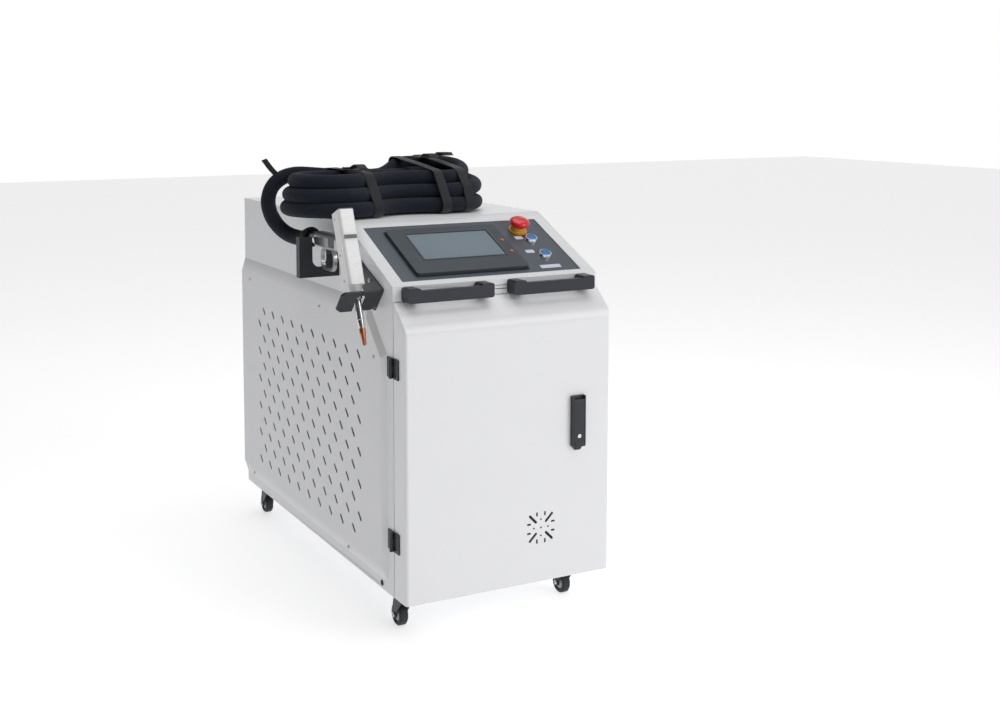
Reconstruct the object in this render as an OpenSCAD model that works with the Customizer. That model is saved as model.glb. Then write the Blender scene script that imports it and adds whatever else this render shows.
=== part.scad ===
// Laser welding machine: a wheeled cabinet with a sloped control console, a
// hinged front door, ventilated side panels, internal source and chiller, and a
// hand-held welding gun parked on the left side with its umbilical folded on top.
// Frame: +Z up, front faces -Y, castors stand on z = 0.

/* [Cabinet] */
// Width over the cabinet side walls
body_w = 500; // [480:5:520]
// Front plane of the door to the rear wall
body_d = 1015; // [1000:5:1030]
// Height of the deck above the floor
deck_h = 867; // [860:1:875]
// Underside of the cabinet above the floor
base_h = 90; // [90:1:90]
// Sheet thickness of the cabinet
sheet = 2; // [1.5:0.5:2.5]
// Slope of the console, degrees
slope = 24.5; // [23:0.5:26]

/* [Vents] */
// Pitch between slot columns
vent_dy = 34.5; // [34:0.25:36]
// Pitch between slots in one column
vent_dz = 72.5; // [70:0.5:75]
// Length of one slanted slot
slot_len = 25; // [20:1:28]
// Width of one slanted slot
slot_w = 7.5; // [6:0.5:8]

/* [Console] */
// Width of the recessed control plate
inset_w = 440; // [430:1:444]
// Length of the recessed control plate down the slope
inset_l = 226.5; // [215:0.5:228]
// Diameter of the emergency stop head
estop_d = 46; // [38:1:46]
// Outside diameter of a push button ring
ring_d = 33; // [30:1:34]

/* [Welding gun] */
// Tilt of the parked gun from vertical, degrees
gun_tilt = 22; // [20:1:24]
// Width of the gun body
gun_w = 36; // [32:1:38]
// Depth of the gun body
gun_dp = 44; // [40:1:46]
// Length of the gun body
gun_l = 165; // [155:1:168]
// Distance of the gun centre line from the cabinet centre plane
gun_x = -297; // [-300:1:-295]

/* [Castors] */
// Wheel diameter
wheel_d = 50; // [50:1:50]
// Tread width
wheel_w = 20; // [18:1:22]
// Offset of the axle from the swivel axis
trail = 22; // [20:1:26]

/* [Umbilical] */
// Outside diameter of the sheathed umbilical
umb_d = 36; // [34:1:38]

/* [Hidden] */

e = 0.01;
hw = body_w / 2;               // half width
yf = -body_d / 2;              // front plane of the door
yr = body_d / 2;               // rear wall
yj = yf + 59.5;                // front plane of the cabinet frame
lift = 15;                     // floor to the datum that the body is drawn from
deck_z = deck_h - lift;
base_z = base_h - lift;
slope_y = -196;                // where the deck ends and the slope begins
nose_z = deck_z - (slope_y - yj) * tan(slope);
pan = 10;                      // how far the side panels stand proud
reach_l = 345;                 // furthest point on the left
reach_f = 519.5;               // furthest point in front
reach_r = 540;                 // furthest point behind
ox = (reach_l - (hw + pan + 2)) / 2;
oy = (reach_f - reach_r) / 2;
cas_x = 206;
cas_y = [-403, 461];           // swivel axes, front and rear
hinge_x = -hw - 5.5;
hinge_y = yj - 1.5;
lock_x = 164;
lock_z = 418;
gun_y = -356.6;
gun_z = 729.8;
grip_z = 812;
gun_noz = -6;                  // nozzle axis in front of the body centre
hk = [-90, -52];               // centre of the folded umbilical
hk_rot = 7;                    // its turn on the deck
hk_z0 = deck_z + 3;
hk_h = 98;
hk_a = 135;                    // from its middle to the centre of a round end
hk_r = 126;                    // radius of its round ends
hk_m = 88;                     // half width where the straps draw it in
hk_k = (hk_a * hk_a + hk_m * hk_m - hk_r * hk_r) / (2 * (hk_r - hk_m)); // radius of the waist
ctl_x = 165;                   // push buttons
ctl_d = [122, 191];
stop_x = 152;                  // emergency stop
stop_d = 80;
$fn = 48;

// the origin sits under the middle of the machine's own outline
module at() translate([ox, oy, lift]) children();
module floor_at() translate([ox, oy, 0]) children();
// X axis to the right, Y up the slope, Z out of it
module console() translate([0, slope_y, deck_z]) rotate([slope, 0, 0]) children();
// extrude a Y-Z outline across X
module yz(x0, x1) translate([x0, 0, 0]) rotate([90, 0, 90]) linear_extrude(x1 - x0) children();
// extrude an X-Z outline along Y
module xz(y0, y1) translate([0, y1, 0]) rotate([90, 0, 0]) linear_extrude(y1 - y0) children();
module box(a, b) translate(a) cube([b[0] - a[0], b[1] - a[1], b[2] - a[2]]);
module rr(w, h, r) {
  square([w - 2 * r, h], center = true);
  square([w, h - 2 * r], center = true);
  for (i = [-1, 1], j = [-1, 1]) translate([i * (w / 2 - r), j * (h / 2 - r)]) circle(r);
}
module tube_x(x0, x1, r) translate([x0, 0, 0]) rotate([0, 90, 0]) cylinder(h = x1 - x0, r = r);
module tube_y(y0, y1, r) translate([0, y0, 0]) rotate([-90, 0, 0]) cylinder(h = y1 - y0, r = r);

// ---------- base and cabinet ----------
module castor_holes(z0, z1, r) for (sx = [-1, 1], cy = cas_y, i = [-1, 1], j = [-1, 1])
  translate([sx * cas_x + i * 22, cy + j * 17, z0]) cylinder(h = z1 - z0, r = r, $fn = 24);

module base_frame() color([0.72, 0.73, 0.74]) at() difference() {
  union() {
    box([-hw + 2.2, yj + 2.2, base_z], [hw - 2.2, yr - 2.2, base_z + 3]);
    for (s = [-1, 1]) {
      box([s * 205 - 15, yj + 15, base_z + 3], [s * 205 + 15, yr - 15, base_z + 33]);
      for (y = [-385, 430]) box([s * 230 - 12.5, y - 12.5, base_z + 3], [s * 230 + 12.5, y + 12.5, 540]);
    }
    for (y = [-390, 0, 400]) box([-190, y - 12, base_z + 3], [190, y + 12, base_z + 21]);
    box([-242.5, -397.5, 540], [242.5, 442.5, 543]);
  }
  for (s = [-1, 1]) box([s * 205 - 13, yj + 10, base_z + 5], [s * 205 + 13, yr - 10, base_z + 31]);
  castor_holes(base_z - 1, base_z + 6, 3.3);
  // ventilation grid of the floor
  for (x = [-150:50:150], y = [-300:60:300]) if (abs(y) > 20 && abs(y) < 380)
    translate([x, y, base_z - 1]) cylinder(h = 5, r = 6, $fn = 24);
}

module shell_out() polygon([[yr, base_z], [yr, deck_z], [slope_y, deck_z], [yj, nose_z], [yj, base_z]]);
module shell_in() {
  t = sheet; k = t * tan(slope / 2);
  zi = deck_z - t - (slope_y + k - yj - t) * tan(slope);
  polygon([[yr - t, base_z - 5], [yr - t, deck_z - t], [slope_y + k, deck_z - t],
    [yj + t, zi], [yj + t, base_z - 5]]);
}

module body_shell() color([0.93, 0.94, 0.95]) at() difference() {
  yz(-hw, hw) shell_out();
  yz(-hw + sheet, hw - sheet) shell_in();
  // doorway
  box([-hw + 22, yj - 5, base_z + 20], [hw - 22, yj + 5, 685]);
  // rear service opening
  box([-225, yr - 6, 120], [225, yr + 6, 790]);
  // openings behind the two ventilated panels
  for (s = [-1, 1]) box([s * hw - 6, -335, 130], [s * hw + 6, 420, 620]);
  // console cut-out
  console() box([-inset_w / 2, -34 - inset_l, -8], [inset_w / 2, -34, 8]);
  // umbilical passage in the deck
  translate([120, 353, deck_z - 6]) cylinder(h = 12, r = 18);
  // handle screw holes in the nose
  for (s = [-1, 1], i = [-1, 1]) translate([s * 126 - 3 + i * 86, 0, 720]) tube_y(yj - 5, yj + 5, 3.2);
  // small hole low on each side
  for (s = [-1, 1]) translate([0, -387, 88]) tube_x(s * hw - 5, s * hw + 5, 5);
}

module rear_panel() color([0.90, 0.91, 0.92]) at() difference() {
  union() {
    translate([0, 0, 455]) xz(yr, yr + 2) rr(476, 696, 6);
    for (z = [300, 600]) translate([0, 0, z]) difference() {
      tube_y(yr + 2, yr + 10, 84);
      tube_y(yr + 1, yr + 12, 78);
    }
    for (z = [300, 600]) translate([0, 0, z]) {
      for (r = [22, 42, 62]) rotate([-90, 0, 0]) rotate_extrude() translate([r, yr + 7]) circle(1.8, $fn = 16);
      for (a = [0:60:120]) rotate([0, a, 0]) translate([-80, yr + 5, -1.6]) cube([160, 4, 3.2]);
      tube_y(yr + 4, yr + 9.5, 12);
    }
  }
  for (z = [300, 600]) translate([0, 0, z]) tube_y(yr - 3, yr + 3, 78);
  translate([150, 0, 150]) tube_y(yr - 3, yr + 5, 10.2);
  translate([-150, 0, 150]) tube_y(yr - 3, yr + 5, 7.2);
  box([-28, yr - 3, 134], [28, yr + 5, 176]);
  for (i = [-1, 1], z = [130, 340, 560, 780]) translate([i * 230, 0, z]) tube_y(yr - 3, yr + 5, 2.2);
}

// ---------- ventilated side panels ----------
module slot() {
  rotate(45) {
    square([slot_len - slot_w, slot_w], center = true);
    for (i = [-1, 1]) translate([i * (slot_len - slot_w) / 2, 0]) circle(slot_w / 2, $fn = 20);
  }
}
// bevelled pan: g grows the inner skin inwards
module pan_solid(x0, x1, g) {
  intersection() {
    yz(x0, x1) polygon([[yr - g, 100 + g], [yr - g, 690 - g], [-320 + g * 0.41, 690 - g],
      [-418 + g, 592 - g * 0.41], [-418 + g, 100 + g]]);
    // slope the top, bottom, front and cut corner back to the wall
    xz(-430, yr + 1) polygon([[-hw + 1, 98 + g], [-hw, 100 + g], [-hw - pan + g, 134 + g],
      [-hw - pan + g, 656 - g], [-hw, 690 - g], [-hw + 1, 692]]);
    linear_extrude(800) polygon([[-hw + 1, -418 + g], [-hw, -418 + g], [-hw - pan + g, -407 + g],
      [-hw - pan + g, yr + 1], [-hw + 1, yr + 1]]);
    // the cut corner
    translate([-hw, -320, 690]) rotate([-45, 0, 0]) translate([0, -1, 0])
      linear_extrude(1600, center = true) polygon([[1, 1 + g], [0, 1 + g], [-pan + g, 16 + g],
        [-pan + g, 1200], [1, 1200]]);
  }
}
module side_panel() difference() {
  pan_solid(-hw - pan, -hw, 0);
  translate([e, 0, 0]) pan_solid(-hw - pan, -hw + 1, 1.6);
  yz(-hw - pan - 5, -hw - pan + 5) for (j = [0:19], k = [0:5])
    translate([365.7 - j * vent_dy, 533.8 - k * vent_dz + (j % 2) * vent_dz / 2]) slot();
}
module side_panel_left() color([0.86, 0.87, 0.88]) at() side_panel();
module side_panel_right() color([0.86, 0.87, 0.88]) at() mirror([1, 0, 0]) side_panel();

// ---------- front door ----------
// outline of the door skin moved inwards by o: flat front, rounded brow, sloped top
function brow(o, a) = [yf + 40 - (40 - o) * sin(a), 638.4 + (40 - o) * cos(a)];
module door_side(o, back) {
  t = brow(o, 41);
  zt = t[1] + (yf + 54.5 - t[0]) * tan(41);
  polygon(concat([[back, base_z + 1 + o], [yf + o, base_z + 1 + o]], [for (a = [90:-3.5:41]) brow(o, a)],
    [[yf + 54.5, zt], [back, zt]]));
}
module door_plan(o) {
  translate([-249.5 + o, yf + 8]) square([499 - 2 * o, 52]);
  translate([-249.5 + 8, yf + o]) square([499 - 16, 55]);
  for (s = [-1, 1]) translate([s * (249.5 - 8), yf + 8]) circle(8 - o, $fn = 48);
}
module dash(l, w) {
  square([l - w, w], center = true);
  for (i = [-1, 1]) translate([i * (l - w) / 2, 0]) circle(w / 2, $fn = 24);
}
module star_vent() translate([74, 196]) {
  for (a = [45:90:315]) rotate(a) translate([28.5, 0]) dash(27, 6);
  for (s = [-1, 1], t = [-1, 1]) {
    translate([s * 10, t * 30]) rotate(90) dash(10, 4.5);
    translate([s * 30, t * 10]) dash(10, 4.5);
  }
  for (p = [[0, 0], [18, 0], [-18, 0], [0, 18], [0, -18]]) translate(p) circle(2.2, $fn = 24);
}
module door() color([0.95, 0.96, 0.97]) at() {
  db = yj - 3;
  difference() {
    intersection() {
      yz(-249.5, 249.5) door_side(0, db);
      linear_extrude(800) door_plan(0);
    }
    difference() {
      intersection() {
        yz(-247.5, 247.5) door_side(2, db + 5);
        linear_extrude(800) door_plan(2);
      }
      // inward lip around the back of the pan
      difference() {
        box([-250, db - 2, 70], [250, db + 10, 710]);
        box([-233, db - 5, 94], [233, db + 12, 680]);
      }
    }
    box([-260, db, 60], [260, db + 20, 720]);
    xz(yf - 5, yf + 5) star_vent();
    box([lock_x - 12, yf - 5, lock_z - 45], [lock_x + 12, yf + 5, lock_z + 45]);
  }
}
module door_gasket() color([0.12, 0.12, 0.13]) at() translate([0, 0, 390]) xz(yj - 3, yj - 0.3) difference() {
  square([488, 616], center = true);
  square([470, 598], center = true);
}
module hinge_z() for (z = [198, 567]) translate([0, 0, z]) children();
module hinge_body_leaves() color([0.09, 0.09, 0.10]) at() hinge_z() {
  union() {
    difference() {
      box([-hw - 2.5, yj + 0.3, -21], [-hw, yj + 25, 21]);
      box([-hw - 4, yj - 1, -8.4], [-hw + 1, yj + 6.6, 8.4]);
    }
    for (s = [-1, 1]) translate([hinge_x, hinge_y, s * 14.15]) {
      cylinder(h = 11.7, r = 5, center = true);
      translate([0, 0, -5.85]) box([0, 0, 0], [5.4, 5, 11.7]);
    }
    translate([hinge_x, hinge_y, 0]) cylinder(h = 40, r = 2.5, center = true);
  }
}
module hinge_door_leaves() color([0.09, 0.09, 0.10]) at() hinge_z() difference() {
  union() {
    box([-hw - 2.5, yj - 29, -21], [-hw + 0.5, yj - 3.6, 21]);
    translate([hinge_x, hinge_y, 0]) cylinder(h = 16, r = 5, center = true);
    translate([hinge_x, hinge_y, -8]) box([0, -6, 0], [5.2, 0, 16]);
  }
  translate([hinge_x, hinge_y, 0]) cylinder(h = 60, r = 2.55, center = true);
  for (s = [-1, 1]) translate([hinge_x, hinge_y, s * 16.3]) cylinder(h = 16, r = 5.6, center = true);
}
// pull latch: housing with side rims, a lever pinned between them, a bolt behind
module lock_outline(w, h) polygon([[-w / 2, h / 2], [w / 2, h / 2], [w / 2, -h / 2 + w / 3],
  [w / 5, -h / 2], [-w / 5, -h / 2], [-w / 2, -h / 2 + w / 3]]);
module lock_housing() color([0.06, 0.06, 0.07]) at() translate([lock_x, 0, lock_z]) difference() {
  union() {
    xz(yf - 4, yf) lock_outline(33, 121);
    xz(yf - 11, yf - 4) difference() {
      lock_outline(33, 121);
      translate([-13.4, -70]) square([26.8, 140]);
    }
    box([-11.5, yf, -44], [11.5, yf + 22, 44]);
  }
  translate([0, yf - 7.75, 50]) tube_x(-15, 15, 2.55);
  box([-20, yf + 11, -7], [20, yf + 30, 7]);
  box([-5, yf + 6, -5], [5, yf + 12, 5]);
}
module lock_lever() color([0.06, 0.06, 0.07]) at() translate([lock_x, 0, lock_z]) {
  box([-13, yf - 11, -52], [13, yf - 4.5, 49.9]);
  translate([0, yf - 7.75, 50]) { tube_x(-13, 13, 3.25); tube_x(-14.8, 14.8, 2.5); }
  box([-10, yf - 12, -52], [10, yf - 11 + e, -40]);
}
module lock_bolt() color([0.75, 0.76, 0.78]) at() translate([lock_x, 0, lock_z])
  box([-6, yf + 11.3, -6.5], [60, yf + 21, 6.5]);
module front_handles() color([0.07, 0.07, 0.08]) at() for (s = [-1, 1]) translate([s * 126 - 3, 0, 0]) difference() {
  union() {
    translate([0, 0, 717.8]) xz(yj - 35, yj - 23) rr(202, 26, 9);
    for (i = [-1, 1]) translate([i * 86, 0, 720.3]) xz(yj - 35, yj) rr(30, 31, 6);
  }
  for (i = [-1, 1]) translate([i * 86, 0, 720]) tube_y(yj - 20, yj + 5, 2.6);
}

// ---------- console ----------
module console_plate() color([0.16, 0.20, 0.25]) at() console() difference() {
  box([-inset_w / 2 - 9, -34 - inset_l - 9, -sheet - 3], [inset_w / 2 + 9, -25, -sheet]);
  box([-160, -232, -20], [78, -68, 20]);
  translate([stop_x, -stop_d, -20]) cylinder(h = 40, r = 11.2);
  for (s = ctl_d) translate([ctl_x, -s, -20]) cylinder(h = 40, r = 11.2);
}
module hmi_bezel() color([0.13, 0.16, 0.17]) at() console() translate([-41, -150, -sheet]) difference() {
  union() {
    linear_extrude(8) rr(274, 184, 7);
    box([-117, -80, -34], [117, 80, 0]);
  }
  translate([5, 15, 5]) linear_extrude(5) rr(201, 107, 2);
  for (y = [-27, 21]) translate([125, y, 4]) cylinder(h = 6, r = 3.1);
}
module hmi_screen() color([0.42, 0.50, 0.56]) at() console() translate([-36, -135, -sheet + 5])
  linear_extrude(2) rr(200, 106, 1.5);
module estop_collar() color([0.92, 0.66, 0.10]) at() console() translate([stop_x, -stop_d, -sheet]) difference() {
  union() {
    cylinder(h = 3, r = 22);
    cylinder(h = 13, r1 = 19, r2 = 16);
    translate([0, 0, -36]) cylinder(h = 36, r = 11);
  }
  translate([0, 0, -30]) cylinder(h = 50, r = 9.6);
}
module estop_button() color([0.86, 0.08, 0.10]) at() console() translate([stop_x, -stop_d, -sheet]) {
  translate([0, 0, 18]) intersection() {
    cylinder(h = 14, r = estop_d / 2);
    translate([0, 0, -24]) sphere(r = 38, $fn = 96);
  }
  translate([0, 0, -20]) cylinder(h = 39, r = 9.4);
}
module button_rings() color([0.78, 0.80, 0.82]) at() console() for (s = ctl_d) translate([ctl_x, -s, -sheet]) difference() {
  union() {
    cylinder(h = 7, r1 = ring_d / 2, r2 = ring_d / 2 - 2);
    translate([0, 0, -30]) cylinder(h = 30, r = 11);
  }
  translate([0, 0, -31]) cylinder(h = 40, r = 10);
  translate([0, 0, 0.5]) cylinder(h = 10, r = 11.5);
}
module button_cap(s) color([0.10, 0.36, 0.78]) at() console() translate([ctl_x, -s, -sheet]) {
  translate([0, 0, -18]) cylinder(h = 27, r = 9.8);
  translate([0, 0, 3.3]) cylinder(h = 5.7, r = 11.3);
}
module button_start() button_cap(ctl_d[0]);
module button_stop() button_cap(ctl_d[1]);
module label_plates() color([0.90, 0.91, 0.93]) at() console() for (p = [[138, 112, 20], [135, 173, 22], [153, 239, 52]])
  translate([p[0], -p[1], -sheet]) linear_extrude(1) rr(p[2], 13, 2);
module indicator_leds() color([0.90, 0.45, 0.12]) at() console() for (s = [129, 177])
  translate([84, -s, 2.1]) { cylinder(h = 5, r = 3); translate([0, 0, 3.9]) cylinder(h = 1, r = 4.5); }

// ---------- gun holder ----------
module holder_plate() color([0.08, 0.08, 0.09]) at() {
  difference() {
    box([-reach_l, -160, 725], [-hw, -156, 816]);
    translate([gun_x, 0, 765]) tube_y(-170, -150, 17);
    box([gun_x - 17, -170, 765], [gun_x + 17, -150, 830]);
  }
  difference() {
    box([-hw - 3, -156, 725], [-hw, -122, 816]);
    for (z = [740, 800]) translate([0, -136, z]) tube_x(-hw - 10, -hw + 5, 2.7);
  }
  box([-reach_l, -156, 725], [-reach_l + 4, -140, 816]);
}
fork_a = atan2(46, 42);
module holder_fork() color([0.08, 0.08, 0.09]) at() {
  difference() {
    yz(-hw - 3, -hw) polygon([[-285, 775], [-404, 727], [-404, 721], [-362, 676], [-337, 678], [-318, 695], [-285, 730]]);
    for (p = [[-300, 755], [-338, 738]]) translate([0, p[0], p[1]]) tube_x(-hw - 10, -hw + 5, 2.7);
  }
  translate([0, -404, 727]) rotate([-fork_a, 0, 0]) translate([0, 0, -4]) linear_extrude(4) difference() {
    polygon([[-hw - 2, 0], [-reach_l + 8, 0], [-reach_l, 8], [-reach_l, 52], [-reach_l + 12, 62],
      [-hw - 14, 62], [-hw - 2, 50]]);
    translate([gun_x, 22]) circle(10);
    translate([gun_x - 10, 22]) square([20, 60]);
  }
}

// ---------- welding gun ----------
module gun() at() translate([gun_x, gun_y, gun_z]) rotate([-gun_tilt, 0, 0]) children();
module gun_core(g) translate([0, 0, -g]) linear_extrude(gun_l + 2 * g) rr(gun_w + 2 * g, gun_dp + 2 * g, 6);
module gun_body() color([0.93, 0.94, 0.94]) gun() difference() {
  union() {
    gun_core(0);
    translate([0, gun_noz / 2, -18]) cylinder(h = 18 + e, r1 = 11, r2 = 17);
  }
  // protective lens pocket
  box([-12.8, -gun_dp / 2 - 5, 100], [12.8, gun_dp / 2 - 8, 107]);
  translate([0, gun_noz, -30]) cylinder(h = 60, r = 6);
}
module gun_lens_drawer() color([0.45, 0.47, 0.48]) gun() difference() {
  union() {
    box([-12.5, -gun_dp / 2, 100.3], [12.5, gun_dp / 2 - 8.5, 106.7]);
    box([-14, -gun_dp / 2 - 3, 99.5], [14, -gun_dp / 2 - 0.3, 107.5]);
    box([-12.5, -gun_dp / 2 - 0.31, 100.3], [12.5, -gun_dp / 2 + 1, 106.7]);
  }
  translate([0, gun_noz, 95]) cylinder(h = 20, r = 8);
}
module gun_nozzle() color([0.80, 0.81, 0.83]) gun() translate([0, gun_noz, 0]) difference() {
  union() {
    translate([0, 0, -30]) cylinder(h = 12, r = 11);
    translate([0, 0, -80]) cylinder(h = 50 + e, r = 7.5);
    translate([0, 0, -92]) cylinder(h = 12, r1 = 6.5, r2 = 7.5);
    translate([0, 0, -74]) cylinder(h = 3, r = 8.6);
  }
  translate([0, 0, -100]) cylinder(h = 100, r = 4.2);
}
module gun_tip() color([0.72, 0.38, 0.25]) gun() translate([0, gun_noz, 0]) difference() {
  union() {
    translate([0, 0, -104]) cylinder(h = 12, r = 7);
    translate([0, 0, -128]) cylinder(h = 24 + e, r1 = 4, r2 = 6.2);
  }
  translate([0, 0, -140]) cylinder(h = 60, r = 2.2);
}
// level grip with a loop guard, the trigger works up into its underside
module gun_grip() color([0.62, 0.63, 0.64]) difference() {
  union() {
    at() translate([gun_x, 0, grip_z]) xz(-330, -166) rr(30, 36, 10);
    at() translate([gun_x, 0, grip_z]) tube_y(-166.01, -160.5, 14.5);
    at() yz(gun_x - 4, gun_x + 4) difference() {
      translate([-215, 772]) rr(80, 52, 23);
      translate([-215, 772]) rr(68, 40, 17);
    }
  }
  gun() gun_core(0.05);
  at() box([gun_x - 6.3, -238.5, 780], [gun_x + 6.3, -213.5, 808]);
  at() translate([gun_x, 0, grip_z]) tube_y(-175, -150, 8);
}
module gun_connector() color([0.82, 0.83, 0.85]) at() translate([gun_x, 0, grip_z]) difference() {
  union() {
    tube_y(-160.5, -130, 14);
    tube_y(-150, -138, 14.5);
    tube_y(-130.01, -118, 12.5);
  }
  tube_y(-170, -140, 7);
}
module gun_trigger() color([0.20, 0.20, 0.22]) at() {
  box([gun_x - 6, -238, 787], [gun_x + 6, -214, 802]);
  box([gun_x - 5, -236, 785], [gun_x + 5, -216, 787.01]);
}

// ---------- umbilical ----------
// route points of the free lead, gun end first
lead_pts = [[-297, -115, 811.4], [-298, -98, 808], [-304, -66, 803], [-316, -32, 806], [-330, -2, 819], [-340, 28, 842],
  [-342, 54, 873], [-331, 71, 905], [-306, 77, 931], [-270, 69, 943], [-227, 53, 941], [-202, 42, 938]];
// route points of the tail, deck hood first
tail_pts = [[120, 317.6, 873], [120, 285, 873], [117, 236, 873], [100, 172, 873], [66, 112, 873], [18, 66, 873], [-36, 36, 873]];
function cr(p, i, t) = let (a = p[max(i - 1, 0)], b = p[i], c = p[i + 1], d = p[min(i + 2, len(p) - 1)])
  0.5 * (2 * b + (c - a) * t + (2 * a - 5 * b + 4 * c - d) * t * t + (3 * b - a - 3 * c + d) * t * t * t);
function smooth(p, n) = concat([for (i = [0:len(p) - 2], k = [0:n - 1]) cr(p, i, k / n)], [p[len(p) - 1]]);
function unit(v) = v / norm(v);
function heading(p, i) = i == 0 ? unit(p[1] - p[0]) : i == len(p) - 1 ? unit(p[i] - p[i - 1]) : unit(p[i + 1] - p[i - 1]);
module sweep(p, r, s) {
  n = len(p);
  pts = [for (i = [0:n - 1]) let (h = heading(p, i), a = unit(cross(h, [0.2, 0.1, 1])), b = cross(h, a))
    for (k = [0:s - 1]) p[i] + r * (a * cos(360 * k / s) + b * sin(360 * k / s))];
  faces = concat([[for (k = [0:s - 1]) k]], [[for (k = [s - 1:-1:0]) (n - 1) * s + k]],
    [for (i = [0:n - 2], k = [0:s - 1]) [i * s + k, (i + 1) * s + k, (i + 1) * s + (k + 1) % s, i * s + (k + 1) % s]]);
  polyhedron(pts, faces);
}
module umbilical_lead() color([0.10, 0.12, 0.18]) at() sweep(smooth(lead_pts, 2), umb_d / 2, 12);
module umbilical_tail() color([0.10, 0.12, 0.18]) at() sweep(smooth(tail_pts, 2), umb_d / 2, 12);
// outline of the folded bundle grown by g: two round ends and a drawn-in waist
module hank_outline(g) {
  r = hk_r + g;
  k = hk_k - g;
  c = hk_m + hk_k;
  f = atan2(c, hk_a);
  polygon(concat(
    [for (i = [0:40]) let (a = (180 - f) * (i / 20 - 1)) [hk_a + r * cos(a), r * sin(a)]],
    [for (i = [1:9]) let (a = -f - (180 - 2 * f) * i / 10) [k * cos(a), c + k * sin(a)]],
    [for (i = [0:40]) let (a = 180 + (180 - f) * (i / 20 - 1)) [-hk_a + r * cos(a), r * sin(a)]],
    [for (i = [1:9]) let (a = 180 - f - (180 - 2 * f) * i / 10) [k * cos(a), -c + k * sin(a)]]));
}
module umbilical_hank() color([0.10, 0.12, 0.18]) at() translate([hk[0], hk[1], hk_z0]) rotate(hk_rot)
  linear_extrude(hk_h) hank_outline(0);
module hank_straps() color([0.05, 0.05, 0.05]) at() translate([hk[0], hk[1], hk_z0]) rotate(hk_rot)
  for (x = [-84, 100, 165]) difference() {
  translate([0, 0, -2.3]) linear_extrude(hk_h + 4.6) intersection() {
    hank_outline(2.3);
    translate([x, 0]) square([25, 400], center = true);
  }
  translate([0, 0, -0.3]) linear_extrude(hk_h + 0.6) hank_outline(0.3);
}
module umbilical_hood() color([0.10, 0.10, 0.11]) at() difference() {
  union() {
    translate([120, 356, deck_z]) linear_extrude(42) rr(60, 60, 10);
    translate([120, 0, 873]) tube_y(318, 330, 20.5);
  }
  translate([120, 0, 873]) tube_y(318 - e, 345, 9);
  translate([120, 353, deck_z - 5]) cylinder(h = 25, r = 16);
}

// ---------- castors ----------
cp = [[-cas_x, cas_y[0]], [cas_x, cas_y[0]], [-cas_x, cas_y[1]], [cas_x, cas_y[1]]];
module castor_plates() color([0.10, 0.10, 0.11]) floor_at() for (p = cp) translate([p[0], p[1], 0]) difference() {
  union() {
    translate([0, 0, base_h - 3]) linear_extrude(3) rr(66, 54, 6);
    translate([0, 0, base_h - 16]) cylinder(h = 13.01, r = 6);
    translate([0, 0, base_h - 19]) cylinder(h = 3.01, r = 9);
  }
  for (i = [-1, 1], j = [-1, 1]) translate([i * 22, j * 17, base_h - 10]) cylinder(h = 12, r = 3.3, $fn = 24);
}
// drawn with the axle along Y and the wheel behind at -X, then turned to roll along Y
module castor_at(i) floor_at() translate([cp[i][0], cp[i][1], 0]) rotate(-90) children();
module castor_fork(i) color([0.10, 0.10, 0.11]) castor_at(i) {
  // swivel cup around the king pin
  difference() {
    translate([0, 0, base_h - 15.8]) cylinder(h = 12.5, r = 21);
    translate([0, 0, base_h - 24]) cylinder(h = 24, r = 6.05);
  }
  for (s = [-1, 1]) {
    xz(s > 0 ? wheel_w / 2 + 1 : -wheel_w / 2 - 4, s > 0 ? wheel_w / 2 + 4 : -wheel_w / 2 - 1) {
      polygon([[19, base_h - 20], [19, base_h - 5], [-15, base_h - 5], [-21, base_h - 14], [-trail - 11, wheel_d / 2 + 6],
        [-trail - 9, wheel_d / 2], [-trail + 8, wheel_d / 2 - 3], [-trail + 12, wheel_d / 2 + 8]]);
      translate([-trail, wheel_d / 2]) circle(9);
    }
  }
  translate([-trail, 0, wheel_d / 2]) tube_y(-wheel_w / 2 - 5.5, wheel_w / 2 + 5.5, 4);
}
module castor_wheel(i) color([0.06, 0.06, 0.07]) castor_at(i) translate([-trail, 0, wheel_d / 2]) difference() {
  union() {
    tube_y(-wheel_w / 2 + 2.5, wheel_w / 2 - 2.5, wheel_d / 2);
    tube_y(-wheel_w / 2, wheel_w / 2, wheel_d / 2 - 2.5);
  }
  for (s = [-1, 1]) difference() {
    tube_y(s > 0 ? wheel_w / 2 - 3 : -wheel_w / 2 - 1, s > 0 ? wheel_w / 2 + 1 : -wheel_w / 2 + 3, wheel_d / 2 - 8);
    tube_y(-20, 20, 8);
  }
  tube_y(-20, 20, 4.06);
}
module castor_fork_fl() castor_fork(0);
module castor_fork_fr() castor_fork(1);
module castor_fork_rl() castor_fork(2);
module castor_fork_rr() castor_fork(3);
module castor_wheel_fl() castor_wheel(0);
module castor_wheel_fr() castor_wheel(1);
module castor_wheel_rl() castor_wheel(2);
module castor_wheel_rr() castor_wheel(3);

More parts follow.
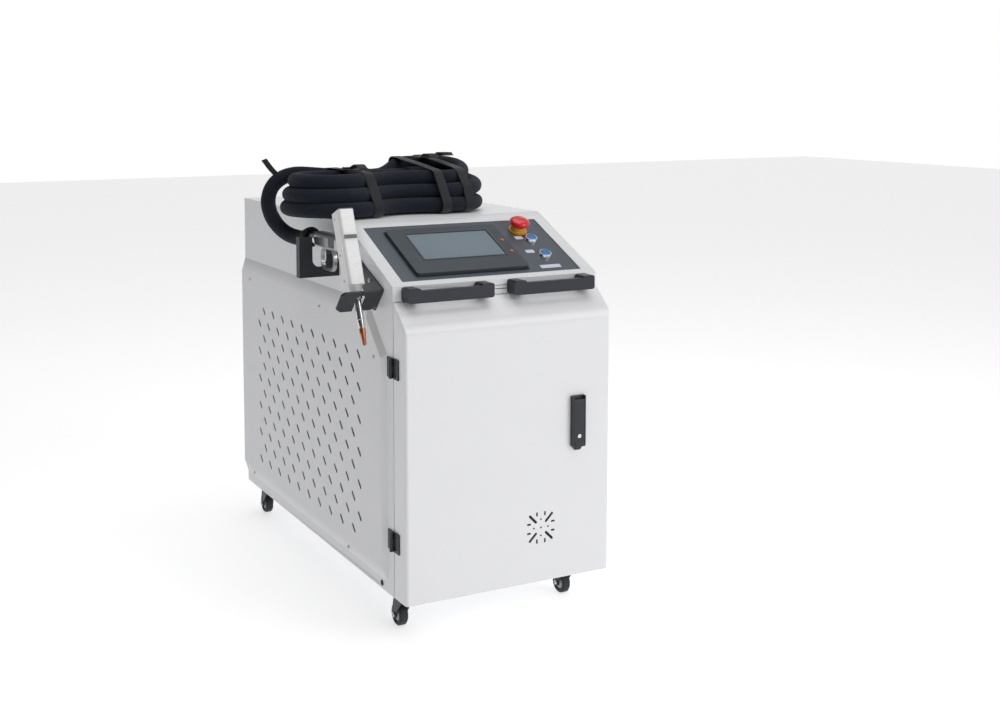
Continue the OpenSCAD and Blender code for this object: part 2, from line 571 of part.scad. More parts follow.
// ---------- inside ----------
module laser_source() color([0.16, 0.17, 0.19]) at() difference() {
  box([-200, -60, 543], [200, 400, 650]);
  for (x = [-180:15:180]) box([x - 3, -50, 635], [x + 3, 390, 655]);
}
module chiller_tank() color([0.88, 0.90, 0.92]) at() {
  difference() {
    translate([98, 380, 96]) linear_extrude(320) rr(164, 180, 14);
    translate([98, 380, 100]) linear_extrude(312) rr(156, 172, 10);
  }
  translate([98, 330, 416]) cylinder(h = 18, r = 30);
}
module compressor() color([0.08, 0.08, 0.09]) at() translate([70, 110, 0]) {
  translate([0, 0, 96]) cylinder(h = 14, r = 72);
  translate([0, 0, 110]) cylinder(h = 190, r = 62);
  translate([0, 0, 276]) intersection() { sphere(r = 66, $fn = 72); translate([0, 0, 24]) cylinder(h = 60, r = 62); }
}
module coolant_pump() color([0.30, 0.32, 0.35]) at() translate([-60, 330, 0]) {
  box([-45, -60, 96], [45, 60, 112]);
  translate([0, 0, 150]) tube_y(-50, 70, 43);
  translate([0, 0, 150]) tube_y(-80, -49, 30);
}
module condenser() color([0.62, 0.64, 0.66]) at() {
  difference() {
    box([-240, -120, 120], [-212, 240, 500]);
    for (z = [132:12:492]) box([-243, -112, z - 4], [-209, 232, z + 4]);
  }
  difference() {
    box([-212, -120, 120], [-208, 240, 500]);
    translate([0, 60, 310]) tube_x(-220, -200, 160);
  }
  difference() {
    translate([0, 60, 310]) tube_x(-208, -186, 168);
    translate([0, 60, 310]) tube_x(-210, -180, 160);
  }
  translate([0, 60, 310]) difference() {
    union() {
      for (a = [0:60:120]) rotate([a, 0, 0]) box([-190, -162, -3], [-186, 162, 3]);
      tube_x(-190, -160, 32);
    }
    tube_x(-195, -155, 5.06);
  }
}
module fan_rotor() color([0.12, 0.12, 0.13]) at() translate([0, 60, 310]) {
  tube_x(-207.5, -192, 30);
  tube_x(-193, -157, 5);
  for (a = [0:72:288]) rotate([a, 0, 0]) translate([-199.7, 28, 0]) rotate([0, 28, 0]) translate([-1.2, 0, -13]) cube([2.4, 122, 26]);
}
module power_supply() color([0.75, 0.76, 0.77]) at() difference() {
  box([-210, -360, 543], [-20, -120, 620]);
  for (y = [-340:14:-150]) box([-200, y - 3, 610], [-30, y + 3, 630]);
}
module control_board() color([0.80, 0.81, 0.82]) at() {
  box([-215, -306, 150], [215, -302, 525]);
  for (z = [230, 340, 450]) box([-190, -314, z - 17.5], [190, -306, z + 17.5]);
  for (i = [0:5]) box([-180 + i * 62, -372, 415], [-126 + i * 62, -314, 490]);
  for (i = [0:8]) box([-180 + i * 40, -364, 305], [-146 + i * 40, -314, 375]);
  for (i = [0:17]) box([-180 + i * 20, -350, 205], [-162 + i * 20, -314, 255]);
  for (s = [-1, 1]) box([s * 212.5 - 2.5, -302, 150], [s * 212.5 + 2.5, -270, 525]);
}

// ---------- rear connections ----------
module mains_gland() color([0.10, 0.10, 0.11]) at() translate([150, 0, 150]) difference() {
  union() {
    tube_y(yr - 12, yr + 4, 10);
    translate([0, yr + 2, 0]) rotate([-90, 0, 0]) cylinder(h = 10, r = 15, $fn = 6);
    tube_y(yr + 12, yr + 30, 12);
  }
  tube_y(yr - 20, yr + 40, 6.5);
}
module gas_inlet() color([0.78, 0.66, 0.36]) at() translate([-150, 0, 150]) difference() {
  union() {
    tube_y(yr - 12, yr + 4, 7);
    translate([0, yr + 2, 0]) rotate([-90, 0, 0]) cylinder(h = 8, r = 11, $fn = 6);
    tube_y(yr + 10, reach_r, 4);
  }
  tube_y(yr - 20, reach_r + 5, 2.5);
}
module breaker_body() color([0.88, 0.88, 0.86]) at() translate([0, 0, 155]) difference() {
  union() {
    box([-27.8, yr - 35, -20.8], [27.8, yr + 2, 20.8]);
    box([-32, yr + 2, -25], [32, yr + 5, 25]);
    for (s = [-1, 1]) box([s * 11 - 2, yr + 5, -8], [s * 11 + 2, yr + 14, 8]);
  }
  translate([0, yr + 10, 0]) tube_x(-30, 30, 2.05);
}
module breaker_toggle() color([0.10, 0.10, 0.11]) at() translate([0, yr + 10, 155]) {
  tube_x(-12.8, 12.8, 2);
  tube_x(-8.5, 8.5, 4.5);
  rotate([-30, 0, 0]) box([-8, 0, -2.5], [8, 15, 2.5]);
}
module panel_screws() color([0.55, 0.56, 0.57]) at() {
  for (s = [-1, 1], p = [[-372, 578], [-212, 112], [440, 112], [440, 640], [-60, 640]])
    translate([0, p[0], p[1]]) tube_x(s > 0 ? hw + (p[1] < 200 ? 5 : pan) : -hw - (p[1] < 200 ? 5 : pan) - 2,
      s > 0 ? hw + (p[1] < 200 ? 5 : pan) + 2 : -hw - (p[1] < 200 ? 5 : pan), 4);
  for (i = [-1, 1], z = [130, 340, 560, 780]) translate([i * 230, 0, z]) tube_y(yr + 2, yr + 4.5, 4);
  for (p = [[-hw - 3, -136, 740], [-hw - 3, -136, 800], [-hw - 3, -300, 755], [-hw - 3, -338, 738]])
    translate([0, p[1], p[2]]) { tube_x(p[0] - 3, p[0], 5); tube_x(p[0], -hw, 2.5); }
}

base_frame();
body_shell();
rear_panel();
side_panel_left();
side_panel_right();
door();
door_gasket();
hinge_body_leaves();
hinge_door_leaves();
lock_housing();
lock_lever();
lock_bolt();
front_handles();
console_plate();
hmi_bezel();
hmi_screen();
estop_collar();
estop_button();
button_rings();
button_start();
button_stop();
label_plates();
indicator_leds();
holder_plate();
holder_fork();
gun_body();
gun_grip();
gun_connector();
gun_nozzle();
gun_tip();
gun_trigger();
gun_lens_drawer();
umbilical_hood();
umbilical_lead();
umbilical_hank();
umbilical_tail();
hank_straps();
castor_plates();
castor_fork_fl();
castor_fork_fr();
castor_fork_rl();
castor_fork_rr();
castor_wheel_fl();
castor_wheel_fr();
castor_wheel_rl();
castor_wheel_rr();
laser_source();
chiller_tank();
compressor();
coolant_pump();
condenser();
fan_rotor();
power_supply();
control_board();
mains_gland();
gas_inlet();
breaker_body();
breaker_toggle();
panel_screws();
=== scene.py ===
import math
import bpy
import bmesh
import numpy as np
from mathutils import Matrix, Vector, noise


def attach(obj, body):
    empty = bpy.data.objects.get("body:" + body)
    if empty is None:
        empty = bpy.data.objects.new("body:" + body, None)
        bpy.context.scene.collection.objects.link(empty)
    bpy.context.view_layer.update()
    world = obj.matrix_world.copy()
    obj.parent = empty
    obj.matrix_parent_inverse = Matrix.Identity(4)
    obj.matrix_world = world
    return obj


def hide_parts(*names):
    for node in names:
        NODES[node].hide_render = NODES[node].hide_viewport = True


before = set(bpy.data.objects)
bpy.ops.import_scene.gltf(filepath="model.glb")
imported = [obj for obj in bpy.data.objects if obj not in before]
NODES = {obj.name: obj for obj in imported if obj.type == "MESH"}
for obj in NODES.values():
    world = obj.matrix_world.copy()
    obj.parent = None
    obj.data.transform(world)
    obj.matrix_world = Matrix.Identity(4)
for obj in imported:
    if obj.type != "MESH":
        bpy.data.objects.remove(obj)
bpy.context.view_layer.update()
OX, OY = 0.0415, -0.01025          # cabinet centre in the part's frame
LIFT = 15                          # floor to the datum of the cabinet, mm


def C(x, y, z):
    """Cabinet millimetres to the part's frame in metres."""
    return Vector((x / 1000 + OX, y / 1000 + OY, (z + LIFT) / 1000))


# ------------------------------------------------------------------ camera
cam_data = bpy.data.cameras.new("camera")
cam = bpy.data.objects.new("camera", cam_data)
bpy.context.scene.collection.objects.link(cam)
R = Vector((0.89197133, -0.45208724, -0.00206743))
U = Vector((0.04117883, 0.07669040, 0.99620424))
F = Vector((0.45021267, 0.88867075, -0.08702206))
pos = C(-1378.744, -2909.383, 1148.985)
cam.matrix_world = Matrix(((R.x, U.x, -F.x, pos.x), (R.y, U.y, -F.y, pos.y), (R.z, U.z, -F.z, pos.z), (0, 0, 0, 1)))
cam_data.sensor_width = 36
cam_data.lens = 47.6075
cam_data.shift_x = 0.05661
cam_data.shift_y = -0.1560
cam_data.clip_end = 60
bpy.context.scene.camera = cam


# ------------------------------------------------------------------ materials
def socket(b, *names):
    for n in names:
        if n in b.inputs:
            return b.inputs[n]
    return None


MATS = {}


def material(name, color, rough=0.5, metal=0.0, var=0.05, var_scale=8.0, rvar=0.08, bump=0.0, bump_scale=300.0,
             coat=0.0, sheen=0.0, spec=0.5, bump_dist=0.0004, low_darkening=0.0, ior=None, brushed=None):
    """A procedural surface: base colour with cloudy variation, roughness variation and fine bump."""
    m = bpy.data.materials.new(name)
    m.use_nodes = True
    nt = m.node_tree
    b = nt.nodes["Principled BSDF"]
    tc = nt.nodes.new("ShaderNodeTexCoord")
    mp = nt.nodes.new("ShaderNodeMapping")
    nt.links.new(tc.outputs["Object"], mp.inputs["Vector"])
    if brushed:
        mp.inputs["Scale"].default_value = brushed
    n1 = nt.nodes.new("ShaderNodeTexNoise")
    n1.inputs["Scale"].default_value = var_scale
    n1.inputs["Detail"].default_value = 5
    nt.links.new(tc.outputs["Object"], n1.inputs["Vector"])
    ramp = nt.nodes.new("ShaderNodeMix")
    ramp.data_type = "RGBA"
    lo = [max(0.0, c * (1 - var)) for c in color[:3]] + [1]
    hi = [min(1.0, c * (1 + var)) for c in color[:3]] + [1]
    ramp.inputs[6].default_value = lo
    ramp.inputs[7].default_value = hi
    nt.links.new(n1.outputs["Fac"], ramp.inputs[0])
    out = ramp.outputs[2]
    # darker towards the bottom: the colour blends to grey-brown over the lowest 0.22 m, in a cloudy pattern
    if low_darkening:
        geo = nt.nodes.new("ShaderNodeNewGeometry")
        sep = nt.nodes.new("ShaderNodeSeparateXYZ")
        nt.links.new(geo.outputs["Position"], sep.inputs[0])
        mr = nt.nodes.new("ShaderNodeMapRange")
        mr.inputs["From Min"].default_value = 0.0
        mr.inputs["From Max"].default_value = 0.22
        mr.inputs["To Min"].default_value = low_darkening
        mr.inputs["To Max"].default_value = 0.0
        nt.links.new(sep.outputs["Z"], mr.inputs["Value"])
        n4 = nt.nodes.new("ShaderNodeTexNoise")
        n4.inputs["Scale"].default_value = 22
        n4.inputs["Detail"].default_value = 8
        nt.links.new(tc.outputs["Object"], n4.inputs["Vector"])
        mul = nt.nodes.new("ShaderNodeMath")
        mul.operation = "MULTIPLY"
        nt.links.new(mr.outputs[0], mul.inputs[0])
        nt.links.new(n4.outputs["Fac"], mul.inputs[1])
        dm = nt.nodes.new("ShaderNodeMix")
        dm.data_type = "RGBA"
        nt.links.new(mul.outputs[0], dm.inputs[0])
        nt.links.new(out, dm.inputs[6])
        dm.inputs[7].default_value = (0.45, 0.43, 0.40, 1)
        out = dm.outputs[2]
    nt.links.new(out, b.inputs["Base Color"])
    n2 = nt.nodes.new("ShaderNodeTexNoise")
    n2.inputs["Scale"].default_value = 35
    n2.inputs["Detail"].default_value = 4
    nt.links.new(mp.outputs["Vector"], n2.inputs["Vector"])
    rr = nt.nodes.new("ShaderNodeMapRange")
    rr.inputs["To Min"].default_value = max(0.02, rough - rvar)
    rr.inputs["To Max"].default_value = min(1.0, rough + rvar)
    nt.links.new(n2.outputs["Fac"], rr.inputs["Value"])
    nt.links.new(rr.outputs[0], b.inputs["Roughness"])
    b.inputs["Metallic"].default_value = metal
    s = socket(b, "Specular IOR Level", "Specular")
    if s:
        s.default_value = spec
    if coat:
        socket(b, "Coat Weight", "Clearcoat").default_value = coat
        socket(b, "Coat Roughness", "Clearcoat Roughness").default_value = 0.12
    if sheen:
        socket(b, "Sheen Weight", "Sheen").default_value = sheen
        sr = socket(b, "Sheen Roughness")
        if sr:
            sr.default_value = 0.5
    if bump:
        n3 = nt.nodes.new("ShaderNodeTexNoise")
        n3.inputs["Scale"].default_value = bump_scale
        n3.inputs["Detail"].default_value = 3
        nt.links.new(mp.outputs["Vector"], n3.inputs["Vector"])
        bp = nt.nodes.new("ShaderNodeBump")
        bp.inputs["Strength"].default_value = bump
        bp.inputs["Distance"].default_value = bump_dist
        nt.links.new(n3.outputs["Fac"], bp.inputs["Height"])
        nt.links.new(bp.outputs[0], b.inputs["Normal"])
    MATS[name] = m
    return m


M_white = material("powder_white", (0.86, 0.87, 0.89), rough=0.42, var=0.012, bump=0.18, bump_scale=900, bump_dist=0.00015, coat=0.15, low_darkening=0.10)
M_door = material("powder_white_door", (0.87, 0.875, 0.90), rough=0.36, var=0.010, bump=0.14, bump_scale=900, bump_dist=0.00015, coat=0.25, low_darkening=0.07)
M_panel = material("powder_panel", (0.84, 0.845, 0.86), rough=0.45, var=0.015, bump=0.18, bump_scale=900, bump_dist=0.00015, coat=0.1, low_darkening=0.15)
M_zinc = material("zinc_steel", (0.55, 0.56, 0.58), rough=0.35, metal=1.0, var=0.12, var_scale=60, rvar=0.12, bump=0.1, bump_scale=400)
M_blksteel = material("black_powder", (0.015, 0.018, 0.024), rough=0.42, var=0.2, bump=0.3, bump_scale=1200, bump_dist=0.00015)
M_blkplastic = material("black_plastic", (0.012, 0.013, 0.020), rough=0.38, var=0.15, bump=0.25, bump_scale=1500, bump_dist=0.0001, coat=0.1)
M_handle = material("handle_plastic", (0.009, 0.011, 0.022), rough=0.45, var=0.15, bump=0.3, bump_scale=1400, bump_dist=0.0001, coat=0.15)
M_rubber = material("rubber_black", (0.018, 0.018, 0.019), rough=0.7, var=0.25, bump=0.3, bump_scale=500)
M_console = material("console_plate", (0.085, 0.105, 0.130), rough=0.34, var=0.05, bump=0.1, bump_scale=1200, bump_dist=0.0001, coat=0.25)
M_bezel = material("bezel_dark", (0.050, 0.064, 0.078), rough=0.34, var=0.06, bump=0.2, bump_scale=1600, bump_dist=0.0001, coat=0.1)
M_yellow = material("yellow_plastic", (0.80, 0.42, 0.03), rough=0.35, var=0.05, coat=0.2, bump=0.1, bump_scale=900)
M_red = material("red_plastic", (0.80, 0.018, 0.030), rough=0.28, var=0.05, coat=0.4, bump=0.06, bump_scale=900)
M_blue = material("blue_plastic", (0.02, 0.17, 0.52), rough=0.3, var=0.06, coat=0.3, bump=0.06, bump_scale=900)
M_amber = material("amber_lens", (0.65, 0.16, 0.04), rough=0.25, var=0.1, coat=0.5)
M_label = material("label_white", (0.72, 0.73, 0.84), rough=0.5, var=0.03, bump=0.1, bump_scale=1200)
M_chrome = material("chrome_satin", (0.72, 0.73, 0.75), rough=0.18, metal=1.0, var=0.04, rvar=0.07, bump=0.05, bump_scale=300)
M_gunwhite = material("gun_shell", (0.88, 0.88, 0.89), rough=0.28, var=0.015, coat=0.35, bump=0.08, bump_scale=1200, bump_dist=0.0001)
M_gunalu = material("gun_alu", (0.58, 0.585, 0.60), rough=0.32, metal=1.0, var=0.06, var_scale=40, rvar=0.1, bump=0.15, bump_scale=700, bump_dist=0.0001)
M_gungrey = material("gun_grey", (0.17, 0.19, 0.20), rough=0.45, var=0.08, bump=0.2, bump_scale=900)
M_copper = material("copper_tip", (0.68, 0.28, 0.16), rough=0.32, metal=1.0, var=0.15, var_scale=90, rvar=0.12, bump=0.12, bump_scale=500)
M_strap = material("strap_web", (0.012, 0.013, 0.016), rough=0.75, var=0.2, sheen=0.3)
M_tank = material("tank_plastic", (0.78, 0.81, 0.84), rough=0.4, var=0.03, bump=0.15, bump_scale=300)
M_fin = material("fin_alu", (0.62, 0.64, 0.66), rough=0.35, metal=1.0, var=0.08, var_scale=70, rvar=0.1, bump=0.15, bump_scale=500, brushed=(1, 1, 12))
M_iron = material("iron_black", (0.020, 0.021, 0.023), rough=0.5, var=0.3, bump=0.4, bump_scale=250)
M_brass = material("brass", (0.72, 0.52, 0.22), rough=0.28, metal=1.0, var=0.08, var_scale=60, rvar=0.1, bump=0.1, bump_scale=500)
M_board = material("board_parts", (0.50, 0.52, 0.54), rough=0.45, var=0.25, var_scale=25, bump=0.2, bump_scale=400)
# painted shade: near-black material for the sheets behind the slots and the door vent
M_shade_fill = material("painted_shade_fill", (0.035, 0.040, 0.050), rough=0.95, var=0.5, var_scale=220, bump=0.8, bump_scale=420, bump_dist=0.001)


def screen_material():
    """Display that is off: a pale grey-blue film under glass, with a painted reflection that makes it a little lighter
    towards the middle.
    """
    m = material("screen_glass", (0.19, 0.25, 0.30), rough=0.14, var=0.03, coat=0.8)
    nt = m.node_tree
    b = nt.nodes["Principled BSDF"]
    link = b.inputs["Base Color"].links[0]
    src = link.from_socket
    tc = nt.nodes.new("ShaderNodeTexCoord")
    mp = nt.nodes.new("ShaderNodeMapping")
    mp.inputs["Location"].default_value = (-0.03, 0.329 * 9, 0)
    mp.inputs["Scale"].default_value = (6.0, 9.0, 0.0)
    nt.links.new(tc.outputs["Object"], mp.inputs["Vector"])
    # painted reflection: a spherical gradient lightens the colour towards the middle of the screen
    g = nt.nodes.new("ShaderNodeTexGradient")
    g.gradient_type = "SPHERICAL"
    nt.links.new(mp.outputs["Vector"], g.inputs["Vector"])
    mx = nt.nodes.new("ShaderNodeMix")
    mx.data_type = "RGBA"
    nt.links.new(g.outputs["Fac"], mx.inputs[0])
    nt.links.new(src, mx.inputs[6])
    mx.inputs[7].default_value = (0.21, 0.27, 0.32, 1)
    nt.links.new(mx.outputs[2], b.inputs["Base Color"])
    return m


M_screen = screen_material()


def woven(name, c1, c2, su, sv, rough=0.8, sheen=0.4, bump=0.6, dist=0.0006, use_uv=True):
    """Basket weave from two crossed waves, in the piece's own UV (metres), with cloudy fading."""
    m = bpy.data.materials.new(name)
    m.use_nodes = True
    nt = m.node_tree
    b = nt.nodes["Principled BSDF"]
    tc = nt.nodes.new("ShaderNodeTexCoord")
    co = tc.outputs["UV"] if use_uv else tc.outputs["Object"]
    waves = []
    for k, (sc, rot) in enumerate(((su, 0.785), (sv, -0.785))):
        mp = nt.nodes.new("ShaderNodeMapping")
        mp.inputs["Rotation"].default_value = (0, 0, rot)
        nt.links.new(co, mp.inputs["Vector"])
        w = nt.nodes.new("ShaderNodeTexWave")
        w.inputs["Scale"].default_value = sc
        w.inputs["Distortion"].default_value = 0.6
        w.inputs["Detail"].default_value = 1
        nt.links.new(mp.outputs["Vector"], w.inputs["Vector"])
        waves.append(w)
    mx = nt.nodes.new("ShaderNodeMath")
    mx.operation = "MAXIMUM"
    nt.links.new(waves[0].outputs["Fac"], mx.inputs[0])
    nt.links.new(waves[1].outputs["Fac"], mx.inputs[1])
    n1 = nt.nodes.new("ShaderNodeTexNoise")
    n1.inputs["Scale"].default_value = 14
    n1.inputs["Detail"].default_value = 6
    nt.links.new(tc.outputs["Object"], n1.inputs["Vector"])
    add = nt.nodes.new("ShaderNodeMath")
    add.operation = "MULTIPLY"
    nt.links.new(mx.outputs[0], add.inputs[0])
    nt.links.new(n1.outputs["Fac"], add.inputs[1])
    col = nt.nodes.new("ShaderNodeMix")
    col.data_type = "RGBA"
    col.inputs[6].default_value = (*c1, 1)
    col.inputs[7].default_value = (*c2, 1)
    nt.links.new(add.outputs[0], col.inputs[0])
    nt.links.new(col.outputs[2], b.inputs["Base Color"])
    b.inputs["Roughness"].default_value = rough
    socket(b, "Sheen Weight", "Sheen").default_value = sheen
    socket(b, "Specular IOR Level", "Specular").default_value = 0.3
    n2 = nt.nodes.new("ShaderNodeTexNoise")
    n2.inputs["Scale"].default_value = 55
    n2.inputs["Detail"].default_value = 4
    nt.links.new(tc.outputs["Object"], n2.inputs["Vector"])
    sm = nt.nodes.new("ShaderNodeMath")
    sm.operation = "ADD"
    nt.links.new(mx.outputs[0], sm.inputs[0])
    k2 = nt.nodes.new("ShaderNodeMath")
    k2.operation = "MULTIPLY"
    k2.inputs[1].default_value = 2.2
    nt.links.new(n2.outputs["Fac"], k2.inputs[0])
    nt.links.new(k2.outputs[0], sm.inputs[1])
    bp = nt.nodes.new("ShaderNodeBump")
    bp.inputs["Strength"].default_value = bump
    bp.inputs["Distance"].default_value = dist
    nt.links.new(sm.outputs[0], bp.inputs["Height"])
    nt.links.new(bp.outputs[0], b.inputs["Normal"])
    MATS[name] = m
    return m


M_sleeve = woven("sleeve_navy", (0.004, 0.006, 0.014), (0.010, 0.015, 0.034), 260, 260, rough=0.85, sheen=0.08)
M_webbing = woven("strap_webbing", (0.004, 0.005, 0.008), (0.010, 0.012, 0.017), 420, 420, rough=0.7, sheen=0.3, bump=0.5, dist=0.0004)


def wheel_material():
    """Dark tread, grey hub: told apart by the distance from the axle in the piece's own coordinates."""
    out = {}
    for k, sx, sy in (("fl", -1, -1), ("fr", 1, -1), ("rl", -1, 1), ("rr", 1, 1)):
        m = material("wheel_" + k, (0.020, 0.021, 0.024), rough=0.6, var=0.25, bump=0.25, bump_scale=500)
        nt = m.node_tree
        b = nt.nodes["Principled BSDF"]
        src = b.inputs["Base Color"].links[0].from_socket
        tc = nt.nodes.new("ShaderNodeTexCoord")
        c = C(sx * 206, (-403 if sy < 0 else 461) + 22, 10)
        sub = nt.nodes.new("ShaderNodeVectorMath")
        sub.operation = "SUBTRACT"
        sub.inputs[1].default_value = c
        nt.links.new(tc.outputs["Object"], sub.inputs[0])
        mul = nt.nodes.new("ShaderNodeVectorMath")
        mul.operation = "MULTIPLY"
        mul.inputs[1].default_value = (0, 1, 1)
        nt.links.new(sub.outputs[0], mul.inputs[0])
        ln = nt.nodes.new("ShaderNodeVectorMath")
        ln.operation = "LENGTH"
        nt.links.new(mul.outputs[0], ln.inputs[0])
        lt = nt.nodes.new("ShaderNodeMath")
        lt.operation = "LESS_THAN"
        lt.inputs[1].default_value = 0.0148
        nt.links.new(ln.outputs["Value"], lt.inputs[0])
        mx = nt.nodes.new("ShaderNodeMix")
        mx.data_type = "RGBA"
        nt.links.new(lt.outputs[0], mx.inputs[0])
        nt.links.new(src, mx.inputs[6])
        mx.inputs[7].default_value = (0.46, 0.47, 0.49, 1)
        nt.links.new(mx.outputs[2], b.inputs["Base Color"])
        out[k] = m
    return out


M_wheel = wheel_material()


# ------------------------------------------------------------------ helpers
def link(o):
    bpy.context.scene.collection.objects.link(o)
    return o


def mesh_object(name, verts, faces, mat, smooth=True, uvs=None):
    me = bpy.data.meshes.new(name)
    me.from_pydata([tuple(v) for v in verts], [], faces)
    me.update()
    if smooth:
        me.polygons.foreach_set("use_smooth", [True] * len(me.polygons))
    if uvs is not None:
        layer = me.uv_layers.new(name="UVMap")
        loops = np.zeros(len(me.loops), np.int32)
        me.loops.foreach_get("vertex_index", loops)
        layer.data.foreach_set("uv", np.asarray(uvs, np.float32)[loops].ravel())
    o = link(bpy.data.objects.new(name, me))
    me.materials.append(mat)
    return o


def smooth_group():
    """Marks edges sharp by angle, so that normals stay crisp where they should."""
    g = bpy.data.node_groups.new("smooth_by_angle", "GeometryNodeTree")
    g.interface.new_socket("Geometry", in_out="INPUT", socket_type="NodeSocketGeometry")
    g.interface.new_socket("Geometry", in_out="OUTPUT", socket_type="NodeSocketGeometry")
    i = g.nodes.new("NodeGroupInput")
    o = g.nodes.new("NodeGroupOutput")
    f = g.nodes.new("GeometryNodeSetShadeSmooth")
    f.domain = "FACE"
    e = g.nodes.new("GeometryNodeSetShadeSmooth")
    e.domain = "EDGE"
    e.inputs["Shade Smooth"].default_value = False
    a = g.nodes.new("GeometryNodeInputMeshEdgeAngle")
    c = g.nodes.new("FunctionNodeCompare")
    c.data_type = "FLOAT"
    c.operation = "GREATER_THAN"
    c.inputs[1].default_value = math.radians(38)
    g.links.new(i.outputs[0], f.inputs["Geometry"])
    g.links.new(f.outputs[0], e.inputs["Geometry"])
    g.links.new(a.outputs["Unsigned Angle"], c.inputs[0])
    g.links.new(c.outputs[0], e.inputs["Selection"])
    g.links.new(e.outputs[0], o.inputs[0])
    return g


SMOOTH = smooth_group()


def finish_edges(o, width, segments=2, weld=True, angle=32, dissolve=True):
    """Small rounded edges and clean normals, by modifiers only."""
    if weld:
        w = o.modifiers.new("weld", "WELD")
        w.merge_threshold = 2e-6
    if dissolve:
        d = o.modifiers.new("clean", "DECIMATE")
        d.decimate_type = "DISSOLVE"
        d.angle_limit = math.radians(0.3)
    if width:
        b = o.modifiers.new("edges", "BEVEL")
        b.width = width
        b.segments = segments
        b.limit_method = "ANGLE"
        b.angle_limit = math.radians(angle)
        b.use_clamp_overlap = True
        b.miter_outer = "MITER_ARC"
    s = o.modifiers.new("smooth", "NODES")
    s.node_group = SMOOTH
    n = o.modifiers.new("normals", "WEIGHTED_NORMAL")
    n.keep_sharp = True
    n.weight = 60


def paint(node, mat, width=None, **kw):
    o = NODES[node]
    o.data.materials.clear()
    o.data.materials.append(mat)
    if width is not None:
        finish_edges(o, width, **kw)
    return o


def revolve(name, profile, mat, at=(0, 0, 0), axis=(0, 0, 1), seg=64, body=None, smooth=True):
    """Turned solid from (radius, height) pairs, mm, standing at a point along an axis."""
    rot = Vector((0, 0, 1)).rotation_difference(Vector(axis).normalized()).to_matrix()
    verts, faces = [], []
    prof = [(r / 1000, h / 1000) for r, h in profile]
    rings = []
    for r, h in prof:
        if r < 1e-9:
            rings.append([len(verts)])
            verts.append(rot @ Vector((0, 0, h)) + Vector(at))
        else:
            ring = []
            for k in range(seg):
                a = 2 * math.pi * k / seg
                ring.append(len(verts))
                verts.append(rot @ Vector((r * math.cos(a), r * math.sin(a), h)) + Vector(at))
            rings.append(ring)
    for a, b in zip(rings, rings[1:]):
        for k in range(seg):
            k2 = (k + 1) % seg
            if len(a) == 1 and len(b) == 1:
                continue
            if len(a) == 1:
                faces.append((a[0], b[k2], b[k]))
            elif len(b) == 1:
                faces.append((a[k], a[k2], b[0]))
            else:
                faces.append((a[k], a[k2], b[k2], b[k]))
    o = mesh_object(name, verts, faces, mat, smooth=smooth)
    finish_edges(o, 0, weld=False, dissolve=False)
    if body:
        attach(o, body)
    return o


def rounded_box(name, size, r, mat, at=(0, 0, 0), rot=None, seg=3, body=None, holes=()):
    """Box with rounded edges, size in mm, centred at a point."""
    bm = bmesh.new()
    bmesh.ops.create_cube(bm, size=1)
    bmesh.ops.scale(bm, vec=[s / 1000 for s in size], verts=bm.verts)
    bmesh.ops.bevel(bm, geom=bm.edges[:], offset=r / 1000, segments=seg, affect="EDGES", profile=0.5)
    me = bpy.data.meshes.new(name)
    m = Matrix.Translation(Vector(at)) @ (rot.to_4x4() if rot is not None else Matrix.Identity(4))
    bmesh.ops.transform(bm, matrix=m, verts=bm.verts)
    bm.to_mesh(me)
    bm.free()
    me.polygons.foreach_set("use_smooth", [True] * len(me.polygons))
    me.materials.append(mat)
    o = link(bpy.data.objects.new(name, me))
    finish_edges(o, 0, weld=False, dissolve=False)
    if body:
        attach(o, body)
    return o


def join(name, objs, body):
    """Joins meshes that share the identity transform into one piece, keeping materials."""
    bm = bmesh.new()
    mats = []
    for o in objs:
        me = o.data
        for m in me.materials:
            if m not in mats:
                mats.append(m)
    out = bpy.data.meshes.new(name)
    uv = bm.loops.layers.uv.new("UVMap")
    for o in objs:
        tmp = bmesh.new()
        tmp.from_mesh(o.data)
        src_uv = tmp.loops.layers.uv.active
        vmap = {}
        for v in tmp.verts:
            vmap[v] = bm.verts.new(v.co)
        idx = [mats.index(m) for m in o.data.materials]
        for f in tmp.faces:
            try:
                nf = bm.faces.new([vmap[v] for v in f.verts])
            except ValueError:
                continue
            nf.smooth = f.smooth
            nf.material_index = idx[f.material_index] if idx else 0
            if src_uv:
                for l, s in zip(nf.loops, f.loops):
                    l[uv].uv = s[src_uv].uv
        tmp.free()
    bm.to_mesh(out)
    bm.free()
    for m in mats:
        out.materials.append(m)
    for o in objs:
        bpy.data.objects.remove(o)
    r = link(bpy.data.objects.new(name, out))
    finish_edges(r, 0, weld=False, dissolve=False)
    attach(r, body)
    return r


# ------------------------------------------------------------------ the umbilical
HX, HY, HA, HANG = -90.0, -52.0, 135.0, math.radians(7)
DECK, RT = 852.0, 18.0
Z1, DZ = DECK + 3 + RT, 31.0
# loop radius, half width of the waist, layer; then how far each left and right loop bulges
LANES = [(108.0, 70.0, 0), (72.0, 33.0, 0), (90.0, 51.0, 1), (72.0, 33.0, 2), (108.0, 70.0, 2)]
LEFT_OUT = [0, 0, 14, 20, 0]
RIGHT_OUT = [0, 0, 20, 0]
WINDOW = [(0.45, 1.0), (0.3, 0.9), (0.3, 0.9), (0.25, 1.0)]
LEAD = [(-297, -115, 811.4), (-298, -98, 808), (-304, -66, 803), (-316, -32, 806), (-330, -2, 819), (-340, 28, 842),
        (-342, 54, 873), (-331, 71, 905), (-306, 77, 931), (-270, 69, 943), (-227, 53, 941)]
TAIL = [(120, 317.6, 873), (120, 285, 873), (117, 236, 873), (100, 172, 873), (66, 112, 873), (18, 66, 873), (-36, 36, 873)]


def s01(t):
    t = min(max(t, 0.0), 1.0)
    return t * t * (3 - 2 * t)


def waist(r, w):
    """Radius and end angle of the drawn-in side of a turn with loop radius r and half width w."""
    k = (HA * HA + w * w - r * r) / (2 * (r - w))
    return k, math.atan2(w + k, HA)


